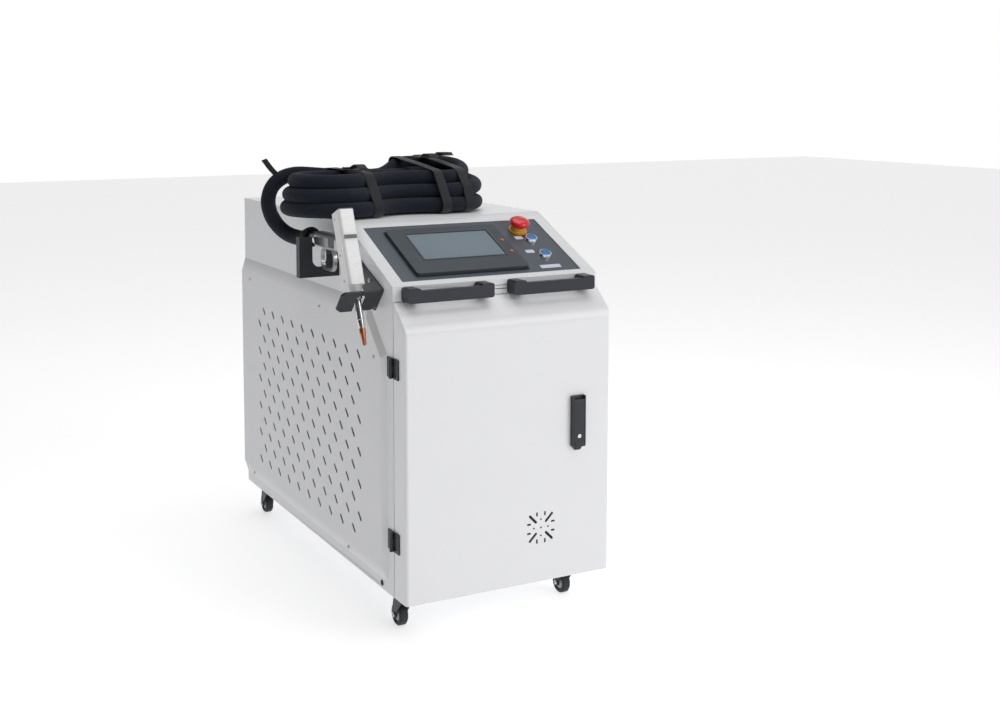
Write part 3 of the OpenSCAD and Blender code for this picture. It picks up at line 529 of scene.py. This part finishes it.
def HL(x, y, z):
    """A point of the folded bundle's own axes in cabinet mm."""
    c, n = math.cos(HANG), math.sin(HANG)
    return (x * c - y * n + HX, x * n + y * c + HY, z)


def hank_path():
    pts = []

    def arc(cx, cy, r, a0, a1, z, step=10.0):
        n = max(2, int(abs(a1 - a0) * r / step))
        for i in range(n):
            a = a0 + (a1 - a0) * i / n
            pts.append((cx + r * math.cos(a), cy + r * math.sin(a), z))
    for k, (r0, w, layer) in enumerate(LANES):
        z = Z1 + DZ * layer
        k0, f0 = waist(r0, w)
        first = len(pts)
        arc(0, w + k0, k0, -math.pi / 2 - 0.13 if k == 0 else -f0, -(math.pi - f0), z)
        if k == len(LANES) - 1:
            for i in range(first, len(pts)):
                pts[i] = (pts[i][0], pts[i][1], pts[i][2] + 26 * s01((pts[i][0] - 28) / 90))
            break
        n = int((2 * math.pi - 2 * f0) * r0 / 10)
        for i in range(n):
            t = i / n
            a = f0 + (2 * math.pi - 2 * f0) * t
            r = r0 + LEFT_OUT[k] * math.sin(math.pi * t) ** 2
            pts.append((-HA + r * math.cos(a), r * math.sin(a), z))
        arc(0, -(w + k0), k0, math.pi - f0, f0, z)
        r1, w1, l1 = LANES[k + 1]
        k1, f1 = waist(r1, w1)
        a0, a1 = -(math.pi - f0), math.pi - f1
        n = int((a1 - a0) * 90 / 10)
        for i in range(n):
            t = i / n
            a = a0 + (a1 - a0) * t
            q = s01((t - WINDOW[k][0]) / (WINDOW[k][1] - WINDOW[k][0]))
            r = r0 + (r1 - r0) * q + RIGHT_OUT[k] * math.sin(math.pi * t) ** 2
            zz = Z1 + DZ * (layer + (l1 - layer) * q)
            if k == 3:
                zz += 26 * s01((t - 0.15) / 0.55) * (s01((HA + r * math.cos(a) - 28) / 90) if math.sin(a) > 0 else 1)
            if k == 2:
                zz += 8 * math.sin(math.pi * t) ** 2
            pts.append((HA + r * math.cos(a), r * math.sin(a), zz))
    return [HL(*p) for p in pts]


def catmull(p, n):
    out = []
    for i in range(len(p) - 1):
        a, b, c, d = (np.array(p[max(i - 1, 0)], float), np.array(p[i], float), np.array(p[i + 1], float),
                      np.array(p[min(i + 2, len(p) - 1)], float))
        for k in range(n):
            t = k / n
            out.append(0.5 * (2 * b + (c - a) * t + (2 * a - 5 * b + 4 * c - d) * t * t + (3 * b - a - 3 * c + d) * t ** 3))
    out.append(np.array(p[-1], float))
    return out


def umbilical_path():
    pts = np.array(catmull(TAIL + hank_path() + LEAD[::-1], 6))
    # even spacing, then a light smoothing that leaves both ends where they are
    s = np.concatenate([[0], np.cumsum(np.linalg.norm(np.diff(pts, axis=0), axis=1))])
    n = int(s[-1] / 6)
    u = np.linspace(0, s[-1], n)
    pts = np.stack([np.interp(u, s, pts[:, k]) for k in range(3)], axis=1)
    for _ in range(10):
        pts[1:-1] = 0.25 * pts[:-2] + 0.5 * pts[1:-1] + 0.25 * pts[2:]
    return pts


PATH_MM = umbilical_path()
PATH = np.stack([PATH_MM[:, 0] / 1000 + OX, PATH_MM[:, 1] / 1000 + OY, (PATH_MM[:, 2] + LIFT) / 1000], axis=1)
CH, SH = math.cos(HANG), math.sin(HANG)
LOCAL = [((p[0] - HX) * CH + (p[1] - HY) * SH, -(p[0] - HX) * SH + (p[1] - HY) * CH, p[2]) for p in PATH_MM]


def frames(path):
    """Parallel frames along a path."""
    t = np.gradient(path, axis=0)
    t /= np.linalg.norm(t, axis=1)[:, None]
    n = np.zeros_like(t)
    a = np.cross(t[0], [0, 0, 1.0])
    n[0] = a / np.linalg.norm(a)
    for i in range(1, len(t)):
        v = n[i - 1] - t[i] * np.dot(n[i - 1], t[i])
        n[i] = v / np.linalg.norm(v)
    return t, n, np.cross(t, n)


def sleeve(name, path, r0, sides, mat):
    """Fabric sleeve: a tube with creases, slight flattening and a raised closing seam."""
    t, n, b = frames(path)
    s = np.concatenate([[0], np.cumsum(np.linalg.norm(np.diff(path, axis=0), axis=1))])
    total = s[-1]
    verts, uvs = [], []
    for i in range(len(path)):
        end = min(1.0, min(s[i], total - s[i]) / 0.05)
        for k in range(sides + 1):
            a = 2 * math.pi * k / sides
            ca, sa = math.cos(a), math.sin(a)
            w = noise.noise(Vector((ca * 1.1, sa * 1.1, s[i] * 22)))
            w2 = noise.noise(Vector((ca * 2.3 + 5, sa * 2.3, s[i] * 70)))
            seam = math.exp(-((a - math.pi * 0.62) / 0.16) ** 2) + 0.8 * math.exp(-((a - math.pi * 0.92) / 0.10) ** 2)
            r = r0 * (1 + end * (0.030 * w + 0.018 * w2 + 0.035 * seam - 0.02))
            if k < sides:
                verts.append(path[i] + r * (n[i] * ca + b[i] * sa))
                uvs.append((a * r0, s[i]))
    faces = []
    for i in range(len(path) - 1):
        for k in range(sides):
            k2 = (k + 1) % sides
            faces.append((i * sides + k, i * sides + k2, (i + 1) * sides + k2, (i + 1) * sides + k))
    m = len(path) - 1
    faces.append(tuple(range(sides - 1, -1, -1)))
    faces.append(tuple(m * sides + k for k in range(sides)))
    o = mesh_object(name, verts, faces, mat, uvs=uvs)
    return o


umbilical = sleeve("umbilical_sleeve", PATH, 0.018, 24, M_sleeve)


def hull2(points):
    pts = sorted(set((round(a, 5), round(b, 5)) for a, b in points))

    def half(ps):
        h = []
        for p in ps:
            while len(h) >= 2 and (h[-1][0] - h[-2][0]) * (p[1] - h[-2][1]) - (h[-1][1] - h[-2][1]) * (p[0] - h[-2][0]) <= 0:
                h.pop()
            h.append(p)
        return h
    lo, hi = half(pts), half(pts[::-1])
    return lo[:-1] + hi[:-1]


def section(x0, win):
    """Outline of the bundle at x0 (bundle mm) as radii from its middle, 144 directions."""
    sel = [p for p in LOCAL if abs(p[0] - x0) < win and p[2] > 866 and abs(p[1]) < 132]
    circ = []
    for p in sel:
        for k in range(20):
            a = 2 * math.pi * k / 20
            circ.append((p[1] + 18.5 * math.cos(a), max(855.0, p[2] + 18.5 * math.sin(a))))
    h = hull2(circ)
    cy = sum(p[0] for p in h) / len(h)
    lo, hi = min(p[1] for p in h), max(p[1] for p in h)
    cz = (lo + hi) / 2
    cy = (min(p[0] for p in h) + max(p[0] for p in h)) / 2
    out = []
    for k in range(144):
        a = 2 * math.pi * k / 144
        d = (math.cos(a), math.sin(a))
        best = 0
        for (y1, z1), (y2, z2) in zip(h, h[1:] + h[:1]):
            ax, az, bx, bz = y1 - cy, z1 - cz, y2 - cy, z2 - cz
            den = d[0] * (bz - az) - d[1] * (bx - ax)
            if abs(den) < 1e-9:
                continue
            tt = (ax * (bz - az) - az * (bx - ax)) / den
            uu = (ax * d[1] - az * d[0]) / den
            if tt > 0 and -1e-6 <= uu <= 1 + 1e-6:
                best = max(best, tt)
        out.append(best)
    return cy, cz, out


STRAP_X = [-84, 100, 165]
bands = []
tops = []
for si, x0 in enumerate(STRAP_X):
    xs = [x0 - 12.5, x0 - 11.5, x0 - 6, x0, x0 + 6, x0 + 11.5, x0 + 12.5]
    cy, cz, base = section(x0, 14)
    verts, uvs, faces = [], [], []
    cols = len(xs)
    for side, off in ((0, 0.5), (1, 2.1)):
        for j, x in enumerate(xs):
            edge = 0.35 if j in (0, cols - 1) else 0.0
            o_ = off - edge if side else off + edge
            sec = base
            arc = 0.0
            for k in range(144):
                a = 2 * math.pi * k / 144
                y, z = cy + (sec[k] + o_) * math.cos(a), cz + (sec[k] + o_) * math.sin(a)
                verts.append(C(*HL(x, y, max(z, 852.7))))
                uvs.append((k * 0.0045, x / 1000))
    nk = 144
    for side in (0, 1):
        for j in range(cols - 1):
            for k in range(nk):
                k2 = (k + 1) % nk
                q = [side * cols * nk + j * nk + k, side * cols * nk + j * nk + k2, side * cols * nk + (j + 1) * nk + k2, side * cols * nk + (j + 1) * nk + k]
                faces.append(tuple(q if side == 0 else q[::-1]))
    for j in (0, cols - 1):
        for k in range(nk):
            k2 = (k + 1) % nk
            q = [j * nk + k, cols * nk + j * nk + k, cols * nk + j * nk + k2, j * nk + k2]
            faces.append(tuple(q if j == 0 else q[::-1]))
    bands.append(mesh_object("band%d" % si, verts, faces, M_webbing, uvs=uvs))
    top = max(range(nk), key=lambda k: cz + base[k] * math.sin(2 * math.pi * k / nk))
    tops.append((x0, cy, cz + max(base[k] * math.sin(2 * math.pi * k / nk) for k in range(nk))))


def ribbon(name, pts, half_dir, half_w, thick, mat):
    """A flat strip along points (metres), with thickness and softened edges."""
    p = np.array([list(q) for q in pts], float)
    t = np.gradient(p, axis=0)
    t /= np.linalg.norm(t, axis=1)[:, None]
    w = np.array(list(half_dir), float)
    w /= np.linalg.norm(w)
    nrm = np.cross(t, w)
    nrm /= np.linalg.norm(nrm, axis=1)[:, None]
    prof = [(-1, -0.35), (-0.94, -0.5), (0.94, -0.5), (1, -0.35), (1, 0.35), (0.94, 0.5), (-0.94, 0.5), (-1, 0.35)]
    verts, uvs, faces = [], [], []
    s = np.concatenate([[0], np.cumsum(np.linalg.norm(np.diff(p, axis=0), axis=1))])
    for i in range(len(p)):
        for a, b_ in prof:
            verts.append(p[i] + w * half_w * a + nrm[i] * thick * b_)
            uvs.append((a * half_w, s[i]))
    m = len(prof)
    for i in range(len(p) - 1):
        for k in range(m):
            k2 = (k + 1) % m
            faces.append((i * m + k, i * m + k2, (i + 1) * m + k2, (i + 1) * m + k))
    faces.append(tuple(range(m - 1, -1, -1)))
    faces.append(tuple((len(p) - 1) * m + k for k in range(m)))
    return mesh_object(name, verts, faces, mat, uvs=uvs)


def buckle(name, centre, w, d, mat):
    """Ladder-lock buckle: a rounded frame with two bars."""
    parts = []
    for dy in (-d / 2, 0, d / 2):
        parts.append(rounded_box(name + "bar", (w, 4.2, 4.2), 1.6, mat, at=centre + Vector((0, dy / 1000, 0))))
        parts[-1].name = name + "_b%d" % len(parts)
    for sx in (-1, 1):
        parts.append(rounded_box(name + "side", (4.6, d + 4.2, 5.0), 1.8, mat, at=centre + Vector((sx * w / 2000, 0, 0))))
        parts[-1].name = name + "_s%d" % len(parts)
    return parts


loose = []
clips = []
for si, (x0, cy, zt) in enumerate(tops):
    dy = (6, -14, 10)[si]
    cpt = C(*HL(x0, cy + dy, zt + 4.2))
    clips += buckle("buckle%d" % si, cpt, 32, 22, M_blkplastic)
    # loose end: out of the buckle, up and over in a curl
    h = (9, 13, 19)[si]
    pts = []
    for k in range(22):
        a = k / 21
        y = cy + dy - 8 - 44 * a
        z = zt + 3.6 + h * math.sin(math.pi * min(1, a * 1.15)) ** 1.2 + 1.5 * a
        x = x0 + 5 * math.sin(2.4 * a)
        pts.append(C(*HL(x, y, min(z, 990))))
    loose.append(ribbon("loose%d" % si, pts, (1, 0.1, 0), 0.0122, 0.0018, M_webbing))

straps = join("strap_bands", bands + loose, "cabinet")
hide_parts("hank_straps")
strap_buckles = join("strap_buckles", clips, "cabinet")

# hook tab on the sleeve near the bend at the left
tab_pts = [C(-312, 76, 942), C(-317, 77, 947), C(-323, 79, 954), C(-329, 81, 962), C(-335, 83, 971), C(-340, 85, 978)]
tab_smooth = [Vector(v) for v in catmull([tuple(p) for p in tab_pts], 4)]
tab = ribbon("sleeve_tab", tab_smooth, (0.55, -0.75, 0.35), 0.0075, 0.0024, M_webbing)
finish_edges(tab, 0, weld=False, dissolve=False)
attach(tab, "cabinet")

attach(umbilical, "cabinet")
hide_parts("umbilical_lead", "umbilical_hank", "umbilical_tail")

# tapered strain reliefs at the deck hood and behind the gun's connector
boot_a = revolve("hood_boot", [(18.3, 0), (20.8, 0), (20.8, 3), (20.0, 4), (20.0, 9), (19.6, 10), (19.6, 15), (20.0, 16), (19.9, 21),
                               (19.3, 22), (19.3, 27), (19.7, 28), (19.5, 33), (19.0, 34), (19.0, 39), (19.2, 40), (18.9, 48), (18.6, 54), (18.2, 54.5)],
                 M_rubber, at=C(120, 317.6, 873), axis=(0, -1, 0), body="cabinet")
boot_b = revolve("gun_boot", [(17.9, 0), (20.5, 0), (22.8, 2), (22.8, 9), (21.4, 10), (21.7, 11), (21.7, 17), (20.5, 18), (20.8, 19), (20.5, 25), (19.4, 26),
                              (19.6, 27), (19.2, 33), (18.2, 34)],
                 M_rubber, at=C(-297, -115.5, 811.5), axis=(-0.06, 1, -0.19), body="cabinet")

# ------------------------------------------------------------------ CAD nodes: materials and edges
paint("body_shell", M_white, 0.0009, segments=2, dissolve=False)
paint("door", M_door, 0.0009, segments=2)
paint("side_panel_left", M_panel, 0.0007, segments=2, angle=20)
paint("side_panel_right", M_panel, 0.0007, segments=2, angle=20)
paint("rear_panel", M_panel, 0.0005)
paint("base_frame", M_zinc, 0.0006)
paint("door_gasket", M_rubber, 0.0006)
paint("hinge_body_leaves", M_blksteel, 0.0005)
paint("hinge_door_leaves", M_blksteel, 0.0005)
paint("lock_housing", M_blkplastic, 0.0008)
paint("lock_lever", M_blkplastic, 0.0012, segments=3)
paint("lock_bolt", M_zinc, 0.0006)
paint("front_handles", M_handle, 0.0022, segments=3)
paint("console_plate", M_console)
paint("hmi_bezel", M_bezel, 0.0010, segments=3)
paint("hmi_screen", M_screen, 0.0003)
paint("estop_collar", M_yellow, 0.0005)
paint("button_rings", M_chrome, 0.0006)
paint("label_plates", M_label, 0.0003)
paint("indicator_leds", M_amber, 0.0004)
paint("holder_plate", M_blksteel, 0.0006)
paint("holder_fork", M_blksteel, 0.0006)
paint("gun_body", M_gunwhite, 0.0010, segments=3)
paint("gun_grip", M_gunalu, 0.0008, segments=2)
paint("gun_connector", M_chrome, 0.0006)
paint("gun_nozzle", M_chrome, 0.0005)
paint("gun_tip", M_copper, 0.0004)
paint("gun_trigger", M_blkplastic, 0.0012, segments=3)
paint("gun_lens_drawer", M_gungrey, 0.0004)
paint("umbilical_hood", M_blkplastic, 0.0025, segments=3)
paint("castor_plates", M_blksteel, 0.0004)
paint("laser_source", M_iron, 0.0008)
paint("chiller_tank", M_tank, 0.0030, segments=3)
paint("compressor", M_iron, 0.0015)
paint("coolant_pump", M_gunalu, 0.0015)
paint("condenser", M_fin, 0.0003)
paint("fan_rotor", M_blkplastic, 0.0005)
paint("power_supply", M_fin, 0.0006)
paint("control_board", M_board, 0.0006)
paint("mains_gland", M_blkplastic, 0.0008)
paint("gas_inlet", M_brass, 0.0004)
paint("breaker_body", M_label, 0.0006)
paint("breaker_toggle", M_blkplastic, 0.0005)
for k in ("fl", "fr", "rl", "rr"):
    paint("castor_fork_" + k, M_blksteel, 0.0005)
    paint("castor_wheel_" + k, M_wheel[k], 0.0012, segments=3)

# ------------------------------------------------------------------ controls
SL = math.radians(24.5)
NRM = Vector((0, -math.sin(SL), math.cos(SL)))
DWN = Vector((0, -math.cos(SL), -math.sin(SL)))


def K(x, d, h):
    """Console point: x across, d down the slope, h out of it, in mm."""
    return C(x, -196, 852) + (DWN * d + NRM * h) / 1000


estop = revolve("estop_head", [(0, -22), (9.4, -22), (9.4, 15.5), (15, 15.8), (22.0, 16.4), (23.0, 17.4), (23.0, 22.5), (22.3, 24.2),
                               (20.4, 26.2), (17.0, 28.2), (13.6, 29.3), (12.7, 29.3), (11.8, 28.8), (10.7, 28.9), (9.3, 29.7), (4.4, 30), (0, 30)],
                M_red, at=K(152, 80, 0), axis=NRM, body="estop")
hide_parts("estop_button")
for nm, d, body in (("start", 122, "start_key"), ("stop", 191, "stop_key")):
    cap = revolve("button_cap_" + nm, [(0, -20), (9.7, -20), (9.7, 1.4), (11.2, 1.5), (11.2, 5.6), (10.8, 6.5), (10.1, 7.0), (8.6, 6.8), (5, 6.2), (0, 6.0)],
                  M_blue, at=K(165, d, 0), axis=NRM, body=body)
    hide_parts("button_" + nm)
# painted highlight: a thin pale ring round the rim of each blue cap
for nm, d in (("start", 122), ("stop", 191)):
    ring = revolve("button_highlight_ring_" + nm, [(11.6, 5.05), (11.9, 5.6), (12.9, 5.7), (13.4, 5.1)], M_label, at=K(165, d, 0), axis=NRM, body="cabinet")

# screen surround: a raised lip on the bezel, and a dark rubber gasket round the bezel that also serves as a painted
# shadow gap
def frame_strip(name, cx, d, w, h, t, height, z, mat, body="cabinet"):
    """Rectangular lip lying on the console."""
    verts, faces = [], []
    outer = [(-w / 2, -h / 2), (w / 2, -h / 2), (w / 2, h / 2), (-w / 2, h / 2)]

    def ring(grow, hh):
        idx = []
        for a, b_ in outer:
            sx, sy = (1 if a > 0 else -1), (1 if b_ > 0 else -1)
            for q in range(5):
                ang = math.pi / 2 * q / 4
                r = 3 + grow
                base = math.atan2(sy, sx) - math.pi / 4
                px = a - sx * 3 + r * math.cos(base + ang)
                py = b_ - sy * 3 + r * math.sin(base + ang)
                idx.append(len(verts))
                verts.append(K(cx + px, d - py, hh))
        return idx
    rings = [ring(0, z), ring(0, z + height * 0.7), ring(-t * 0.25, z + height), ring(-t * 0.75, z + height), ring(-t, z + height * 0.6), ring(-t, z)]
    n = len(rings[0])
    for a, b_ in zip(rings, rings[1:]):
        for k in range(n):
            faces.append((a[k], a[(k + 1) % n], b_[(k + 1) % n], b_[k]))
    o = mesh_object(name, verts, faces, mat)
    finish_edges(o, 0, weld=False, dissolve=False)
    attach(o, body)
    return o


lip = frame_strip("screen_lip", -36, 135, 208, 114, 3.2, 1.4, 5.9, M_bezel)
# painted shadow gap: near-black gasket strip round the bezel
gasket_shadow_strip = frame_strip("bezel_gasket_shadow_gap", -41, 150, 278, 188, 4.0, 1.2, -2.0, M_rubber)


# ------------------------------------------------------------------ fasteners
def pan_head(name, at, axis, r, h, mat, hexr=0.45):
    """Pan head screw with a hexagonal recess."""
    seg = 36
    rot = Vector((0, 0, 1)).rotation_difference(Vector(axis).normalized()).to_matrix()
    verts, faces = [], []

    def ring(rad, hh, hexa=False):
        idx = []
        for k in range(seg):
            a = 2 * math.pi * k / seg
            rr = rad
            if hexa:
                m = (a % (math.pi / 3)) - math.pi / 6
                rr = rad * math.cos(math.pi / 6) / math.cos(m)
            idx.append(len(verts))
            verts.append(rot @ Vector((rr * math.cos(a) / 1000, rr * math.sin(a) / 1000, hh / 1000)) + Vector(at))
        return idx
    rings = [ring(r, 0), ring(r, h * 0.45), ring(r * 0.93, h * 0.8), ring(r * 0.72, h), ring(r * hexr * 1.18, h),
             ring(r * hexr, h * 0.96, True), ring(r * hexr, h * 0.35, True)]
    for a, b_ in zip(rings, rings[1:]):
        for k in range(seg):
            faces.append((a[k], a[(k + 1) % seg], b_[(k + 1) % seg], b_[k]))
    faces.append(tuple(rings[-1]))
    faces.append(tuple(reversed(rings[0])))
    return mesh_object(name, verts, faces, mat)


heads = []
for s in (-1, 1):
    for (y, z) in ((-372, 578), (-212, 112), (440, 112), (440, 640), (-60, 640)):
        lift = 5 if z < 200 else 10
        heads.append(pan_head("h%d" % len(heads), C(s * (250 + lift), y, z), (s, 0, 0), 4, 2, M_zinc))
for i in (-1, 1):
    for z in (130, 340, 560, 780):
        heads.append(pan_head("h%d" % len(heads), C(i * 230, 509.5, z), (0, 1, 0), 4, 2.4, M_zinc))
for (y, z) in ((-136, 740), (-136, 800), (-300, 755), (-338, 738)):
    heads.append(pan_head("h%d" % len(heads), C(-253, y, z), (-1, 0, 0), 5, 3, M_zinc))
screws = join("screw_heads", heads, "cabinet")
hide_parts("panel_screws")

hb, hd = [], []
for zc in (198, 567):
    for dz in (-13, 13):
        hb.append(pan_head("hb%d" % len(hb), C(-252.5, -434, zc + dz), (-1, 0, 0), 2.6, 0.9, M_blksteel))
        hd.append(pan_head("hd%d" % len(hd), C(-252.5, -464, zc + dz), (-1, 0, 0), 2.6, 0.9, M_blksteel))
o = join("hinge_screws_body", hb, "cabinet")
o = join("hinge_screws_door", hd, "door")

# ------------------------------------------------------------------ painted shade: dark sheets behind the slots and behind the door vent
def shade_sheet(name, s):
    """Near-black sheet behind the slotted panel, gently uneven: painted shade for the dark interior seen through the
    slots.
    """
    verts, faces, n, m = [], [], 60, 40
    x0 = s * 255.2
    for i in range(n + 1):
        for j in range(m + 1):
            y = -345 + 760 * i / n
            z = 138 + 478 * j / m
            w = noise.noise(Vector((y * 0.02, z * 0.02, 3.0 * s)))
            verts.append(C(x0 + s * (0.8 * w), y, z))
    for i in range(n):
        for j in range(m):
            q = (i * (m + 1) + j, (i + 1) * (m + 1) + j, (i + 1) * (m + 1) + j + 1, i * (m + 1) + j + 1)
            faces.append(q if s > 0 else q[::-1])
    me = mesh_object(name, verts, faces, M_shade_fill)
    sol = me.modifiers.new("thick", "SOLIDIFY")
    sol.thickness = 0.003
    sol.offset = -1
    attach(me, "cabinet")
    return me


shade_sheet("shade_sheet_left", -1)
shade_sheet("shade_sheet_right", 1)
# painted shade: near-black disc behind the door vent holes
vent = revolve("door_vent_shade_disc", [(0, 0), (52, 0), (52, 1.2), (0, 1.2)], M_shade_fill, at=C(74, -505.2, 196), axis=(0, 1, 0), body="door", seg=48)

plugs = []
for sx in (-1, 1):
    plugs.append(revolve("plug%d" % sx, [(0, 0), (4.9, 0), (6.6, 0.1), (6.4, 0.9), (4.5, 1.5), (0, 1.6)], M_rubber, at=C(sx * 250, -387, 88), axis=(sx, 0, 0), seg=32))
o = join("side_plugs", plugs, "cabinet")

# ------------------------------------------------------------------ gun details
GT = math.radians(22)
GZ = Vector((0, math.sin(GT), math.cos(GT)))
GY = Vector((0, math.cos(GT), -math.sin(GT)))
G0 = C(-297, -356.6, 729.8)
GROT = Matrix((Vector((1, 0, 0)), GY, GZ)).transposed()


def G(x, y, z):
    return G0 + (Vector((1, 0, 0)) * x + GY * y + GZ * z) / 1000


bits = []
for s in (-1, 1):
    for z in (14, 70, 150):
        bits.append(pan_head("g%d" % len(bits), G(s * 18, 6, z), (s, 0, 0), 2.6, 1.0, M_zinc))
gun_screws = join("gun_screws", bits, "gun")
cap = rounded_box("gun_top_cap", (33, 41, 3.0), 1.3, M_gungrey, at=G(0, 0, 166.2), rot=GROT, body="gun")
ribs = []
for k in range(5):
    ribs.append(rounded_box("r%d" % k, (1.2, 1.2, 5.6), 0.5, M_gungrey, at=G(-8 + 4 * k, -25.2, 103.5), rot=GROT))
knob = join("drawer_ribs", ribs, "lens_drawer")
grip_bits = []
for k in range(7):
    y = -280 + k * 5
    for s in (-1, 1):
        grip_bits.append(rounded_box("k%d_%d" % (k, s), (1.4, 2.2, 20), 0.6, M_gungrey, at=C(-297 + s * 15.2, y, 812)))
o = join("grip_ribs", grip_bits, "gun")

# latch details: key barrel
barrel = revolve("latch_key", [(0, 0), (4.6, 0), (4.6, 0.9), (4.1, 1.4), (1.6, 1.4), (1.2, 0.9), (0, 0.9)], M_chrome, at=C(164, -518.5, 390), axis=(0, -1, 0), body="latch_lever", seg=40)

# castor details: axle nuts
for k, sx, sy in (("fl", -1, -1), ("fr", 1, -1), ("rl", -1, 1), ("rr", 1, 1)):
    ns = []
    for s in (-1, 1):
        ns.append(pan_head("n%s%d" % (k, s), C(sx * 206 + s * 15.5, (-403 if sy < 0 else 461) + 22, 10), (s, 0, 0), 5.2, 2.2, M_zinc))
    o = join("axle_nuts_" + k, ns, "swivel_" + k)

# ------------------------------------------------------------------ floor, light, world
bm = bmesh.new()
bmesh.ops.create_grid(bm, x_segments=8, y_segments=8, size=14)
fm = bpy.data.meshes.new("floor")
bm.to_mesh(fm)
bm.free()
floor = link(bpy.data.objects.new("floor", fm))
M_floor = material("studio_floor", (0.72, 0.72, 0.725), rough=0.8, var=0.004, var_scale=2)
fb = M_floor.node_tree.nodes["Principled BSDF"]
socket(fb, "Emission Color", "Emission").default_value = (1.0, 1.0, 1.0, 1)
fb.inputs["Emission Strength"].default_value = 0.64
fm.materials.append(M_floor)

w = bpy.data.worlds.new("world")
bpy.context.scene.world = w
w.use_nodes = True
nt = w.node_tree
bg = nt.nodes["Background"]
bg.inputs["Color"].default_value = (1.0, 1.0, 1.0, 1)
# bright only towards the backdrop, dim all round, darker at the left
tc = nt.nodes.new("ShaderNodeTexCoord")
dot = nt.nodes.new("ShaderNodeVectorMath")
dot.operation = "DOT_PRODUCT"
dot.inputs[1].default_value = (0.45, 0.89, 0.0)
nt.links.new(tc.outputs["Generated"], dot.inputs[0])
ramp = nt.nodes.new("ShaderNodeMapRange")
ramp.interpolation_type = "SMOOTHSTEP"
ramp.inputs["From Min"].default_value = 0.76
ramp.inputs["From Max"].default_value = 0.86
ramp.inputs["To Min"].default_value = 0.0
ramp.inputs["To Max"].default_value = 1.0
nt.links.new(dot.outputs["Value"], ramp.inputs["Value"])
side = nt.nodes.new("ShaderNodeSeparateXYZ")
nt.links.new(tc.outputs["Generated"], side.inputs["Vector"])
fill = nt.nodes.new("ShaderNodeMapRange")
fill.inputs["From Min"].default_value = -1.0
fill.inputs["From Max"].default_value = 1.0
fill.inputs["To Min"].default_value = 0.02
fill.inputs["To Max"].default_value = 0.42
nt.links.new(side.outputs["X"], fill.inputs["Value"])
mixs = nt.nodes.new("ShaderNodeMix")
mixs.data_type = "FLOAT"
nt.links.new(ramp.outputs["Result"], mixs.inputs["Factor"])
nt.links.new(fill.outputs["Result"], mixs.inputs["A"])
mixs.inputs["B"].default_value = 1.0
nt.links.new(mixs.outputs["Result"], bg.inputs["Strength"])


def area(name, at, target, size, power, color=(1, 1, 1)):
    l = bpy.data.lights.new(name, "AREA")
    l.shape = "RECTANGLE"
    l.size, l.size_y = size
    l.energy = power
    l.color = color
    o = link(bpy.data.objects.new(name, l))
    o.location = at
    o.rotation_euler = (Vector(target) - Vector(at)).to_track_quat("-Z", "Y").to_euler()
    return o


area("key", (2.2, -3.6, 2.6), (0, 0, 0.5), (2.4, 2.4), 50, (1.0, 0.99, 0.97))
area("top", (0.2, -0.2, 4.0), (0, 0, 0.6), (3.0, 3.0), 50)
area("front", (0.9, -4.2, 1.0), (0, 0, 0.5), (2.6, 1.6), 6)
sc = bpy.context.scene
sc.view_settings.view_transform = "Standard"
sc.view_settings.look = "None"
sc.view_settings.exposure = 0.0
